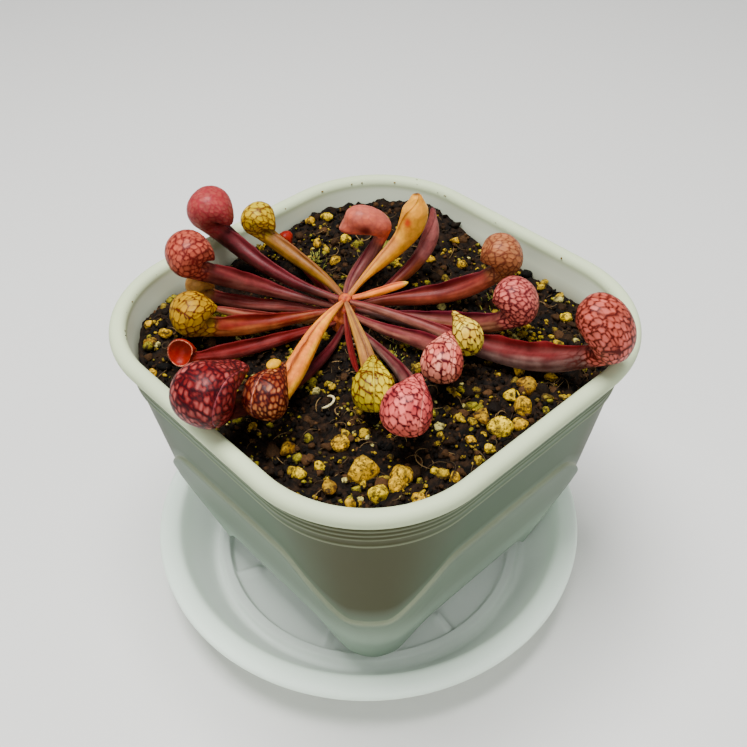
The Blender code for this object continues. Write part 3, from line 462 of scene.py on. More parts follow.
def pitcher_lines(leaf):
    """The sections of a pitcher from the crown to its beak's tip, one row each: outer point,
    inner point, sideways direction, half width, wing height and share of the hood.  The
    tube's half height runs from the crown's through "tube" to 0.42 of the hood's radius.
    The mouth lies at the inner point where the beak starts."""
    ball = leaf["ball"]
    centre, heading = reached(leaf)
    side_end = units(np.cross(heading, UP))
    up_end = np.cross(side_end, heading)
    end = centre - heading * 1.2 * leaf["long"] * ball
    end = end - up_end * (leaf["tall"] - 0.42) * ball
    cuts = np.linspace(-0.02, 1.0, TUBE_CUTS)
    points, side, up = route(leaf, end, heading, cuts)
    rise = 0.42 * ball - BASE_HALF
    sag = 4.0 * cuts * (1.0 - cuts) * (leaf["tube"] - (BASE_HALF + 0.42 * ball) / 2)
    high = BASE_HALF + rise * cuts + sag
    fin = 0.12 + leaf["wing"] * (ease(cuts, 0.14, 0.7) - 0.9 * ease(cuts, 0.84, 1.0))
    lift = up * high[:, None]
    tube = np.column_stack([points - lift, points + lift, side, high * (1.0 + 0.12 * cuts),
                            fin, 0.0 * cuts])
    outer, inner, half = hood_outline(leaf)
    low, near = [centre + (heading * line[:, :1] + up_end * line[:, 1:]) * ball
                 for line in (outer, inner)]
    count = len(half)
    hood = np.column_stack([low, near, np.tile(side_end, (count, 1)), half * ball,
                            np.full(count, 0.10), np.ones(count)])
    return np.vstack([tube, hood]), centre, near[OVAL_CUTS + 1]


def shoot_lines(leaf):
    """The sections of a shoot in the same columns: it narrows to a blunt tip, and a young
    pitcher's folded hood stands on it as a bulb."""
    end, heading = reached(leaf)
    cuts = np.linspace(-0.03, 1.0, TUBE_CUTS)
    points, side, up = route(leaf, end, heading, cuts)
    body = BASE_HALF + (leaf["tube"] - BASE_HALF) * ease(cuts, 0.04, 0.5)
    body = body + leaf["bulb"] * ease(cuts, 0.5, 0.8)
    high = body + (leaf["tip"] - body) * ease(cuts, leaf["dome"], 1.0)
    fin = 0.12 + leaf["wing"] * (ease(cuts, 0.08, 0.5) - 0.95 * ease(cuts, 0.7, 0.95))
    lift = up * high[:, None]
    hood = np.where(cuts > 0.6, 1.0, 0.0) * (leaf["bulb"] > 0.2)
    return np.column_stack([points - lift, points + lift, side, high, fin, hood]), end, end


def even_rows(rows, tube_step, hood_step):
    """The same rows set at even steps along the outer line, finer on the hood, and smoothed
    along their length so that the tube runs into the hood without a crease."""
    step = lengths(np.diff(rows[:, :3], axis=0))
    step = step / np.where(rows[1:, 11] > 0.5, hood_step, tube_step)
    measure = np.concatenate([[0.0], np.cumsum(step)])
    marks = np.linspace(0.0, measure[-1], int(measure[-1]) + 2)
    even = np.stack([np.interp(marks, measure, column) for column in rows.T], -1)
    for _ in range(20):
        even[1:-1] = (even[:-2] + 2.0 * even[1:-1] + even[2:]) / 4.0
    even[:, 6:9] = units(even[:, 6:9])
    return even


def close_tip(rows, count):
    """Round the last rows off, drawing each section in towards its middle as a dome does: by
    the root of 1 less the square of the share already passed."""
    share = np.linspace(0.0, 1.0, count)
    draw = np.sqrt(np.maximum(1.0 - share**2, 0.03))[:, None]
    middle = (rows[-count:, :3] + rows[-count:, 3:6]) / 2
    for ends in (slice(0, 3), slice(3, 6)):
        rows[-count:, ends] = middle + (rows[-count:, ends] - middle) * draw
    rows[-count:, 9:11] *= draw
    return rows


def sections(rows, around, crest, seed):
    """Closed sections of a pitcher: a slightly squared oval from the outer line round to the
    inner one, where a thin wing stands up and waves a little from side to side.  A raised
    seam at the angle "crest" gets close columns of its own.

    Returns the grid of points, and for each point round a section its angle from the outer
    line in degrees and how far up the wing it lies.
    """
    outer, inner, side = rows[:, :3], rows[:, 3:6], rows[:, None, 6:9]
    half, fin = rows[:, 9], rows[:, 10]
    reach = lengths(inner - outer) / 2
    along = units(inner - outer)
    open_angle = math.radians(24.0)
    angles = np.linspace(-math.pi + open_angle, math.pi - open_angle, around)
    if crest is not None:
        near = math.radians(crest) + np.radians([-2.4, -1.6, -0.8, 0.0, 0.8, 1.6, 2.4])
        far = angles[np.abs(angles - math.radians(crest)) > math.radians(3.2)]
        angles = np.sort(np.concatenate([far, near]))
    down, across = [np.sign(wave) * np.abs(wave) ** (2.0 / 2.25)
                    for wave in (np.cos(angles), np.sin(angles))]
    oval = ((outer + inner) / 2)[:, None] - along[:, None] * (reach[:, None] * down)[..., None]
    oval = oval + side * (half[:, None] * across)[..., None]
    level = np.array([0.0, 0.3, 0.58, 0.82, 0.95, 1.0])
    thin = np.array([1.0, 0.72, 0.55, 0.45, 0.34, 0.12])
    level = np.concatenate([level, level[::-1]])
    thin = np.concatenate([thin, -thin[::-1]])
    thick = np.minimum(0.32, half * 0.55)
    run = travel(inner)
    draw = np.random.default_rng(seed)
    bend = np.sin(run / draw.uniform(1.6, 2.4) + draw.uniform(0.0, 6.0))
    bend = bend + 0.6 * np.sin(run / draw.uniform(0.7, 1.1) + draw.uniform(0.0, 6.0))
    base = inner - along * 0.04 * reach[:, None]
    rise = (fin + 0.04 * reach)[:, None] * level
    sway = (bend * 0.16 * np.minimum(fin, 2.0))[:, None] * level**2
    edge = base[:, None] + along[:, None] * rise[..., None]
    edge = edge + side * (thick[:, None] * thin + sway)[..., None]
    theta = np.concatenate([np.degrees(angles), np.full(6, 180.0), np.full(6, -180.0)])
    wing = np.concatenate([0.0 * angles, level])
    return np.concatenate([oval, edge], axis=1), theta, wing


def vein_net(points, ways, stretch, size, seed):
    """A net of veins round uneven cells, stretched along the leaf.

    Seeds are set one by one at the point farthest from all others.  Each point keeps its
    distance to the two nearest seeds: half their difference is its way to the nearest vein,
    in millimetres, and the nearest seed gives its cell a chance tone.
    """
    draw = np.random.default_rng(seed)
    near = np.full(len(points), 99.0)
    second = near
    owner = np.zeros(len(points), int)
    pick = int(draw.integers(len(points)))
    number = 0
    while near[pick] > size and number < MOST_WINDOWS:
        away = points - points[pick]
        run = away @ ways[pick]
        level = (away * away).sum(-1) - run * run * (1.0 - 1.0 / stretch[pick] ** 2)
        far = np.sqrt(np.maximum(level, 0.0)) * draw.uniform(0.86, 1.16)
        closer = far < near
        second = np.where(closer, near, np.minimum(second, far))
        near = np.where(closer, far, near)
        owner = np.where(closer, number, owner)
        number += 1
        pick = int(near.argmax())
    return np.minimum((second - near) / 2, 0.9), draw.uniform(0.0, 1.0, number + 1)[owner]


def veins_of(grid, along, hood, cell, seed):
    """Two nets laid over each other, a fine one and one of long bold veins about three
    windows apart, with the chance tone of each window."""
    flat, ways = grid.reshape(-1, 3), units(along).reshape(-1, 3)
    hood = np.broadcast_to(hood, grid.shape[:2])
    fine, tone = vein_net(flat, ways, (4.6 - 2.95 * hood).ravel(), cell, seed)
    bold, _ = vein_net(flat, ways, (5.5 - 2.9 * hood).ravel(), cell * 2.9, seed + 200)
    return np.minimum(fine, bold * 0.8).reshape(hood.shape), tone.reshape(hood.shape)


def dented(dent, grid, centre, ball):
    """Press the side of the hood that stands open in to a shallow cup, all that lies beyond a
    plane "level" hood radii out, and say how near each point lies to the cup's edge."""
    facing, climb, level = dent
    way = compass(facing, climb)
    over = ((grid - centre) @ way) / ball - level
    cup = np.clip(over, 0.0, 1.0)
    return grid - way * (cup * 1.75 * ball)[..., None], np.exp(-(over / 0.09) ** 2)


def make_leaf(name, leaf, lines, skin, number):
    """One pitcher or shoot in one skin: its sections, the windows that stand up between its
    veins, the seam along its hood, and its colours by place."""
    ball, crest, small = leaf["ball"], leaf["crest"], leaf["small"]
    rows, centre, mouth = lines(leaf)
    rows = close_tip(even_rows(rows, TUBE_STEP, HOOD_STEP + 0.012 * ball), TIP_ROWS)
    around = SMALL_AROUND if ball < 4.0 else LARGE_AROUND
    grid, theta, wing = sections(rows, around, crest, number)
    run = travel(rows[:, :3])
    hooded = rows[:, 11] > 0.5
    start = run[hooded.argmax()] if hooded.any() else run[-1] + 9.0
    netted = ease(run, start - leaf["net_reach"] - 0.5, start + 1.0)[:, None]
    hood = ease(rows[:, 11], 0.1, 0.95)[:, None]
    edge = 0.0
    if leaf["dent"]:
        grid, edge = dented(leaf["dent"], grid, centre, ball)
    along = np.gradient(grid, axis=0)
    normals = units(np.cross(np.roll(grid, -1, axis=1) - np.roll(grid, 1, axis=1), along))
    net, tone = veins_of(grid, along, netted, leaf["cell"], number)
    bulge = (0.02 + 0.09 * netted * leaf["faint"]) * ease(net, 0.03, 0.3) * (1.0 - 0.8 * wing)
    seam = beyond = np.zeros_like(net)
    if crest is not None:
        reach = ease(rows[:, 11], 0.5, 1.0)[:, None]
        seam = np.exp(-((theta - crest) / 1.5) ** 2) * reach
        past = (theta - crest) * (1.0 if crest >= 0.0 else -1.0)
        beyond = ease(past, 2.0, 16.0) * reach
    seam = np.maximum(seam, edge)
    room = ease(lengths(along), 0.04, 0.16)
    grid = grid + normals * (room * (bulge + 0.24 * seam))[..., None]
    grid[..., 2] = np.minimum(grid[..., 2], HIGHEST)
    pale_share = ease(net / leaf["cell"], small, small + 0.3) if small else 1.0 + 0.0 * net
    slot, *codes = COATS[leaf["coat"]].split()
    shades = leaf_colours(codes, grid, normals, (theta, run), hood, (tone, pale_share), wing,
                          seam, beyond, mouth, ball)
    for place, size, code in leaf["patches"]:
        near = np.exp(-(lengths(grid - np.array(place)) / size) ** 4)
        shades = [mix(colour, code, 0.9 * near) for colour in shades]
    strength = leaf["faint"] * netted * (1.0 - 0.6 * seam) * (1.0 - wing)
    strength = np.maximum(strength, 0.12)
    surface(name + "_leaf", grid, None, skin, slot, name, net, skin=shades[0],
            flesh=mix(shades[0], shades[1], strength), vein=mix(shades[0], shades[2], strength))
    return grid.reshape(-1, 3)


def leaf_colours(codes, grid, normals, place, hood, tones, wing, seam, beyond, mouth, ball):
    """Window, flesh and vein colours: windows paler on the hood's crown, where the skin faces up,
    and deeper below, as painted light and shade, and deeper past the seam; long streaks down
    the tube, lighter on its upper side as painted light; a dark wing, a warm foot, and a mouth
    darkened with painted shade."""
    pale, deep, vein, light, dark, edge, ridge = tints(codes)
    theta, run = place
    tone, pale_share = tones
    blotch = ripple(grid, 5.0, 7) * 0.16
    # Painted light and shade: windows paler where the skin faces up and deeper where it faces
    # down, mixed with each window's own tone and blotches.
    painted_top_light_and_tone = np.clip(0.66 + 0.3 * normals[..., 2] + (tone - 0.5) * 0.4 + blotch, 0.0, 1.0)
    window = mix(deep, pale, painted_top_light_and_tone * pale_share * (1.0 - 0.6 * beyond))
    turn = np.radians(theta)
    line = np.stack(np.broadcast_arrays(2.4 * np.cos(turn), 2.4 * np.sin(turn),
                                        run[:, None] / 9.0), -1)
    # The streaks are lighter on the tube's upper side: painted light.
    streak = 0.42 + 0.26 * ripple(line, 1.5, int(ball * 100.0)) + 0.34 * normals[..., 2] + blotch
    tube = mix(dark, light, np.clip(streak, 0.0, 1.0))
    away = lengths(grid - np.array([CROWN_X, CROWN_Y, 70.0]))
    tube = mix(tube, "#96584A", 0.5 * (1.0 - ease(away, 2.5, 9.0)))
    side = ease(np.abs(theta), 105.0, 150.0) * ease(away, 6.0, 16.0)
    tube = mix(tube, edge * 1.1, 0.6 * side)
    skin = mix(tube, window, hood)
    skin = mix(skin, edge, ease(wing, 0.1, 0.6) * (1.0 - 0.75 * hood))
    # Darker near the mouth: painted shade in the mouth's opening.  On a young pitcher, whose mouth
    # is its tip, this darkens the bulb's tip.
    near = 1.0 - ease(lengths(grid - mouth), 0.12 * ball, 0.6 * ball)
    skin = mix(skin, edge * 0.4, near * 0.8 * hood)
    skin = mix(skin, ridge, 0.8 * seam)
    return skin, mix(vein, skin, 0.32 + 0.14 * painted_top_light_and_tone), vein


def pitcher_skin():
    """Living leaf skin: thin, waxy and a little see-through, so it gleams softly, with pale
    windows that deepen towards the dark veins between them."""
    material, tree, shader = new_material(
        "waxy_leaf_skin", 0.5, Subsurface_Weight=0.05, Subsurface_Scale=0.0005,
        Subsurface_Radius=(1.0, 0.35, 0.25), Specular_IOR_Level=0.1)
    place = point_place(tree)
    fine = node(tree, "TexNoise", {"Scale": 2600.0, "Detail": 3.0}, place)
    broad = node(tree, "TexNoise", {"Scale": 700.0, "Detail": 2.0}, place)
    skin, flesh, vein, net = [node(tree, "Attribute", {"attribute_name": name})
                              for name in ("skin", "flesh", "vein", "net")]
    waver = node(tree, "Math", {"operation": "MULTIPLY_ADD", 1: 0.10, 2: -0.05}, {0: fine})
    way = node(tree, "Math", {"operation": "ADD"}, {0: net.outputs["Fac"], 1: waver})
    line, pane = [node(tree, "MapRange", {"interpolation_type": "SMOOTHSTEP", "From Min": low,
                                          "From Max": high}, {"Value": way})
                  for low, high in ((0.03, 0.088), (0.06, 0.2))]
    inner = node(tree, "Mix", {"data_type": "RGBA"}, {0: pane, 6: flesh, 7: skin})
    both = node(tree, "Mix", {"data_type": "RGBA"}, {0: line, 6: vein, 7: inner.outputs[2]})
    gloss = node(tree, "MapRange", {"From Min": 0.3, "From Max": 0.7, "To Min": 0.32,
                                    "To Max": 0.46}, {"Value": fine})
    bump = node(tree, "Bump", {"Strength": 0.3, "Distance": 0.00006}, {"Height": fine})
    colour = shaded(tree, both.outputs[2], broad, 0.3, 0.7, 0.82, 1.14)
    connect(tree, shader, {"Base Color": colour, "Roughness": gloss, "Normal": bump})
    return material


def square_marks():
    """Corner, share of the quarter turn and travel along the side of each point of a ring."""
    turn = np.linspace(0.0, 1.0, CORNER_CUTS + 1)
    walk = np.arange(1, SIDE_CUTS) / SIDE_CUTS
    share = np.concatenate([turn, np.ones(len(walk))])
    along = np.concatenate([np.zeros(len(turn)), walk])
    return np.repeat(np.arange(4), len(share)), np.tile(share, 4), np.tile(along, 4)


def square_ring(half, radius, z):
    """A ring of marks on a rounded square of half side and corner radius about the pot."""
    corner, share, along = square_marks()
    angle = np.radians(90.0 * (corner + share))
    middle = np.radians(90.0 * corner + 45.0)
    side = np.radians(90.0 * (corner + 2))
    straight = half - radius
    x = np.sign(np.cos(middle)) * straight + radius * np.cos(angle)
    y = np.sign(np.sin(middle)) * straight + radius * np.sin(angle)
    x = x + 2.0 * straight * along * np.cos(side)
    y = y + 2.0 * straight * along * np.sin(side)
    return np.stack([POT_X + x, POT_Y + y, z + np.zeros(MARKS)], -1)


def side_share():
    """Each mark's place along the wall, 0 in the middle of a side and 1 at a corner: the
    smaller of its ways out along X and Y over the larger."""
    away = np.abs(square_ring(40.0, 18.0, 0.0)[:, :2] - (POT_X, POT_Y))
    return away.min(1) / away.max(1)


def skirt_edge(drop=0.0):
    """Heights of the wavy edge where the wall meets the skirt: high along the sides."""
    return SKIRT_AT_CORNERS - drop + SKIRT_RISE * (1.0 - ease(side_share(), 0.42, 0.86))


def foot_edge(rise=0.0):
    """Heights of the lower edge: a rounded foot at each corner and a flat arch between."""
    foot = FOOT_RISE * (1.0 - ease(side_share(), 0.6, 1.0))
    return POT_BASE + rise + foot + ARCH_RISE * (1.0 - ease(side_share(), 0.36, 0.66))


def wall_ring(height, inset=0.0):
    """A ring of the pot's tapering wall at one height, or at a height for each mark."""
    half = np.interp(height, WALL_HEIGHTS, WALL_HALVES) - inset
    radius = np.maximum(np.interp(height, WALL_HEIGHTS, WALL_CORNERS) - inset, 2.2)
    return square_ring(half, radius, height)


def rim_ring(height, inset):
    """A ring of the rim, whose width doesn't follow the wall's taper."""
    return square_ring(RIM_HALF - inset, RIM_CORNER - inset, height)


def make_pot(plastic):
    """The pot: feet with an arch between each two, the skirt with its wavy ledge, the wall,
    the fine ridges below the rim, the rolled rim, and the inner wall and floor."""
    rings = [wall_ring(FLOOR_BELOW, 12.0), wall_ring(FLOOR_BELOW, 3.2),
             wall_ring(FLOOR_BELOW - 0.3, WALL + 1.2)]
    rings += [wall_ring(foot_edge(rise), inset) for rise, inset in
              ((0.3, WALL + 0.75), (0.0, WALL + 0.55), (0.0, 1.0), (0.0, 0.55), (0.25, 0.15),
               (0.7, 0.0))]
    rings += [wall_ring(foot_edge(0.7) * (1.0 - k) + skirt_edge(3.0) * k, -0.55 * k)
              for k in (0.12, 0.3, 0.5, 0.7, 0.88)]
    rings += [wall_ring(skirt_edge(drop), inset) for drop, inset in
              ((3.0, -0.6), (1.7, -0.7), (1.1, -0.7), (0.7, -0.6), (0.4, -0.4), (0.2, -0.12),
               (0.1, 0.16), (-0.15, 0.24), (-0.8, 0.1))]
    rings += [wall_ring(skirt_edge() * (1.0 - k) + (STEP_LINE - 1.2) * k, 0.1)
              for k in (0.2, 0.4, 0.6, 0.8, 1.0)]
    rings += [wall_ring(STEP_LINE + up, inset) for up, inset in
              ((-0.35, 0.1), (-0.15, 0.06), (0.05, -0.3), (0.25, -0.38), (0.45, -0.3),
               (0.7, -0.18))]
    rings += [wall_ring(ridge + up, inset) for ridge in RIDGES for up, inset in
              ((-0.3, -0.18), (-0.08, -0.36), (0.08, -0.36), (0.3, -0.16))]
    rings.append(wall_ring(70.2, -0.2))
    rings += [rim_ring(SHOULDER_HEIGHT + up, inset) for up, inset in
              ((-0.7, 2.35), (-0.2, 1.95), (0.1, 1.5), (0.4, 1.15), (1.0, 1.1), (1.2, 1.28),
               (1.4, 1.1), (1.8, 1.1))]
    for angle in np.radians(np.linspace(-28.0, 180.0, 22)):
        bulge = math.copysign(abs(math.cos(angle)) ** 0.85, math.cos(angle))
        rings.append(rim_ring(POT_TOP - RIM_ROLL + RIM_ROLL * math.sin(angle),
                              RIM_WIDTH / 2 * (1.0 - bulge)))
    rolled = len(rings)
    rings.append(rim_ring(73.0, RIM_WIDTH + 0.03))
    rings += [wall_ring(z, WALL) for z in (70.0, 66.0, 62.0, 33.4, FLOOR_TOP + 0.8)]
    grid = np.array(rings + [wall_ring(FLOOR_TOP, WALL + 0.8)])
    cut_drains(surface("plastic_pot", grid, None, plastic, "pot_plastic", "pot",
                       tint=pot_colours(grid, rolled)))


def pot_colours(grid, rolled):
    """Thin milky plastic: darker and browner where the wet soil stands behind it, with painted
    shade over that, deepest at the corners; paler on the skirt, partly where no soil stands
    behind it and partly as painted light; pale at the rim, with painted highlights along the
    ledge, the step line and the ridges; and marked by soil water on its inner side, which starts
    at the ring "rolled"."""
    z = grid[..., 2]
    corner = ease(side_share(), 0.38, 0.88)
    # The wall's dark olive: partly the wet soil seen through the thin plastic, partly painted
    # shade, deepest at the corners.
    wall = mix("#4B5C47", "#42422A", corner * (1.0 - ease(z, 60.0, 80.0)))
    # The skirt is paler towards its foot: partly no soil behind it, partly painted light where it
    # faces up.
    pale = mix("#687666", "#A5B7A5", 1.0 - ease(z, 10.0, 34.0))
    colour = mix(pale, wall, ease(z - skirt_edge(), 0.2, 2.0))
    # Above the step line, the same painted shade, deepest at the corners.
    above = ease(z, STEP_LINE - 0.5, STEP_LINE + 0.5)
    colour = mix(colour, mix("#576952", "#43442B", corner), above)
    # Pale lines along the step line and the ridges, and along the ledge: painted highlights.
    lines = np.any([np.abs(z - height) < 0.2 for height in (STEP_LINE + 0.25, *RIDGES)], 0)
    edge = np.exp(-((z - skirt_edge(0.25)) / 0.45) ** 2)
    colour = mix(colour, "#A6AE90", np.maximum(0.4 * lines, 0.7 * edge))
    colour = mix(colour, "#BCC8A2", ease(z, 71.0, 73.2))
    within = mix("#7C7458", "#D6DEC4", ease(z, 64.0, 70.0))
    return mix(colour, within, np.arange(len(grid))[:, None] >= rolled)


def cut_drains(pot):
    """Four drain holes cut straight down through the pot's floor."""
    shape = bmesh.new()
    for x, y in ((-1, -1), (1, -1), (-1, 1), (1, 1)):
        place = (POT_X + x * DRAIN_AWAY, POT_Y + y * DRAIN_AWAY, FLOOR_TOP)
        bmesh.ops.create_cone(shape, cap_ends=True, segments=40, radius1=DRAIN_RADIUS * MM,
                              radius2=DRAIN_RADIUS * MM, depth=12.0 * MM,
                              matrix=Matrix.Translation(np.array(place) * MM))
    mesh = bpy.data.meshes.new("drains")
    shape.to_mesh(mesh)
    shape.free()
    drains = put("drains", mesh)
    cut = pot.modifiers.new("cut", "BOOLEAN")
    cut.operation = "DIFFERENCE"
    cut.object = drains
    view = bpy.context.evaluated_depsgraph_get()
    done = bpy.data.meshes.new_from_object(pot.evaluated_get(view))
    pot.modifiers.remove(cut)
    pot.data = done
    bpy.data.objects.remove(drains)


def moulded_plastic(name):
    """Injection-moulded polypropylene, thin and milky: a satin skin, faintly cloudy, with the
    colour that each point brings in "tint"."""
    material, tree, shader = new_material(name, 0.45, IOR=1.49, Specular_IOR_Level=0.08)
    cloud = node(tree, "TexNoise", {"Scale": 40.0, "Detail": 0.0}, point_place(tree))
    own = node(tree, "Attribute", {"attribute_name": "tint"})
    connect(tree, shader, {"Base Color": shaded(tree, own, cloud, 0.2, 0.8, 0.93, 1.05)})
    return material


def turned(profile, passes, around):
    """A profile with its corners cut again and again at a quarter of each stretch, turned
    round a vertical axis: the angles, and a grid of radii and one of heights."""
    profile = np.array(profile)
    for _ in range(passes):
        near = profile[:-1] * 0.75 + profile[1:] * 0.25
        far = profile[:-1] * 0.25 + profile[1:] * 0.75
        cut = np.stack([near, far], 1).reshape(-1, 2)
        profile = np.vstack([profile[:1], cut[1:-1], profile[-1:]])
    turn = np.linspace(0.0, math.tau, around + 1)[:-1]
    return turn, *[np.repeat(column[:, None], around, 1) for column in profile.T]


def make_saucer(plastic):
    """The saucer, turned from its outline, with the bars on its floor raised by rule."""
    lip, out = SAUCER_RADIUS - LIP_WIDTH, RING_RADIUS + RING_WIDTH / 2
    foot, top, floor = SAUCER_FOOT_RADIUS, SAUCER_HEIGHT, SAUCER_FLOOR
    outside = [(2.0, 0.0), (30.0, 0.0), (foot - 0.6, 0.0), (foot + 1.4, 0.3),
               (foot + 4.4, 2.4), (SAUCER_RADIUS - 2.2, top - 3.5),
               (SAUCER_RADIUS - 1.2, top - 3.3)]
    edge = [(SAUCER_RADIUS, top - 2.7), (SAUCER_RADIUS, top - 0.7),
            (SAUCER_RADIUS - 1.4, top), (SAUCER_RADIUS - 3.6, top),
            (lip + 0.6, top - 0.5), (lip - 0.4, top - 2.0), (lip - 1.6, top - 4.2)]
    inside = [(out + 2.2, floor + 1.2), (out + 1.2, floor + 0.45), (out + 0.3, floor + 0.4),
              (RING_RADIUS + 1.1, RING_TOP - 0.1), (RING_RADIUS + 0.5, RING_TOP),
              (RING_RADIUS - 0.5, RING_TOP), (RING_RADIUS - 1.1, RING_TOP - 0.1),
              (RING_RADIUS - 1.7, floor + 0.1), (RING_RADIUS - 2.6, floor), (31.0, floor),
              (28.0, floor), (24.0, floor), (12.0, floor - 0.1), (2.0, floor - 0.2)]
    turn, radius, height = turned(outside + edge + inside, 2, 240)
    pitch = math.tau / RIB_COUNT
    off = (turn - math.radians(RIB_FIRST_DEG) + pitch / 2) % pitch - pitch / 2
    across = np.abs(off * radius) / (RIB_WIDTH / 2)
    along = ease(radius, RIB_INNER_RADIUS - 0.2, RIB_INNER_RADIUS + 1.4)
    along = along * (radius < RING_RADIUS)
    rib = floor + (RIB_TOP - floor) * (1.0 - ease(across, 0.5, 1.1)) * along
    height = np.where(np.arange(len(height))[:, None] > len(height) // 2,
                      np.maximum(height, rib * (along > 0.0)), height)
    grid = np.stack([radius * np.cos(turn), radius * np.sin(turn), height], -1)
    # The well is painted a touch lighter than the lip and the underside: painted light against the
    # pot's shadow there.
    deep = (1.0 - ease(radius, 43.0, 49.0)) * (height > 0.5)
    surface("plastic_saucer", grid, None, plastic, "saucer_plastic", "saucer",
            tint=mix("#ECFCEC", "#F4FCF4", deep))


def make_crown(skin):
    """The short rootstock: a turned profile made uneven, in flaps where old leaves left."""
    inner = [radius - 0.42 for radius in WHORL_RADII]
    turn, radius, height = turned(
        [(0.1, 56.0), (inner[2] * 0.6, 56.6), (inner[2], 59.5), (inner[2], 67.7),
         (inner[1], 68.2), (inner[1], 70.4), (inner[0], 70.9), (inner[0], CROWN_TOP - 0.9),
         (inner[0] * 0.6, CROWN_TOP - 0.15), (0.1, CROWN_TOP)], 3, 72)
    radius = radius * np.minimum(1.0 + 0.05 * np.sin(7.0 * turn + height * 1.7), 1.03)
    grid = np.stack([CROWN_X + radius * np.cos(turn), CROWN_Y + radius * np.sin(turn),
                     np.minimum(height, CROWN_TOP)], -1)
    streak = np.clip(0.5 + 0.4 * ripple(grid, 1.2, 31), 0.0, 1.0)
    colour = mix("#C8642E", "#8E2F22", streak)
    surface("crown_flesh_piece", grid, None, skin, "crown_flesh", "crown", 0.4,
            skin=colour, flesh=colour, vein=colour * 0.6)


def make_bud(skin):
    """A yellow bud: a ball stretched to an egg, a little uneven, darker below and lighter on top
    as painted shade and light.
    """
    ball, faces = ball_shape(4)
    points = ball * (1.0 + 0.07 * ripple(ball, 1.6, 83))[:, None] * BUD_HALVES + BUD_PLACE
    # Painted shade and light: darker on the bud's underside, lighter on its top.
    colour = mix("#8A4A02", "#C48E00", ease(ball[:, 2], -1.0, 0.6))
    surface("yellow_bud", points, [faces], skin, "leaf_yellow", None, 0.4,
            skin=colour, flesh=colour, vein=colour * 0.8)


def soil_height(x, y):
    """The soil's surface: slow swells, a hollow at the crown, a bank along the back wall and
    a heap in the left corner."""
    swell = sum(size * np.sin(a * x + b * y + phase) for size, a, b, phase in SOIL_SWELLS)
    away = np.hypot(x - CROWN_X, y - CROWN_Y)
    hollow = HOLLOW_DEPTH * (1.0 - ease(away, 4.5, HOLLOW_RADIUS))
    bank = BACK_BANK * ease(x * BACK_BANK_WAY[0] + y * BACK_BANK_WAY[1], 26.0, 44.0)
    off = np.hypot(x - LEFT_HEAP_PLACE[0], y - LEFT_HEAP_PLACE[1])
    heap = LEFT_HEAP * (1.0 - ease(off, 0.0, LEFT_HEAP_RADIUS))
    return SOIL_LEVEL + swell - hollow + np.maximum(bank, heap)


class Ground:
    """The soil's height on a square map of half-millimetre cells: at least SETTLE_ROOM below
    the lowest leaf within SETTLE_REACH, and then evened out three times."""

    def __init__(self, leaves):
        self.low, self.cell, self.count = -52.0, 0.5, 216
        line = self.low + self.cell * np.arange(self.count)
        x, y = np.meshgrid(line, line, indexing="ij")
        roof = np.full((self.count, self.count), 999.0)
        at = ((leaves[:, :2] - self.low) / self.cell).round().astype(int)
        at = np.clip(at, 0, self.count - 1)
        np.minimum.at(roof, (at[:, 0], at[:, 1]), leaves[:, 2])
        reach = int(SETTLE_REACH / self.cell)
        wide = np.pad(roof, reach, constant_values=999.0)
        for i in range(2 * reach + 1):
            for j in range(2 * reach + 1):
                if (i - reach) ** 2 + (j - reach) ** 2 <= reach**2:
                    roof = np.minimum(roof, wide[i:i + self.count, j:j + self.count])
        height = np.minimum(soil_height(x, y), roof - SETTLE_ROOM)
        for _ in range(3):
            height[1:-1] = (height[:-2] + 2.0 * height[1:-1] + height[2:]) / 4.0
            height[:, 1:-1] = (height[:, :-2] + 2.0 * height[:, 1:-1] + height[:, 2:]) / 4.0
        self.height = height

    def at(self, x, y):
        """The height at any place, evened out between the four nearest cells."""
        u, v = [np.clip((place - self.low) / self.cell, 0.0, self.count - 1.001)
                for place in (x, y)]
        i, j = u.astype(int), v.astype(int)
        u, v = u - i, v - j
        low = self.height[i, j] * (1.0 - v) + self.height[i, j + 1] * v
        high = self.height[i + 1, j] * (1.0 - v) + self.height[i + 1, j + 1] * v
        return low * (1.0 - u) + high * u


def inside_pot(x, y, margin):
    """Whether a place on the soil is at least "margin" from the pot's wall: its way out past
    the square between the corners' middles is less than the corner's radius."""
    corner = WALL_CORNERS[2] - WALL
    straight = WALL_HALVES[2] - WALL - margin - corner
    over_x = np.maximum(np.abs(x - POT_X) - straight, 0.0)
    over_y = np.maximum(np.abs(y - POT_Y) - straight, 0.0)
    return np.hypot(over_x, over_y) < corner


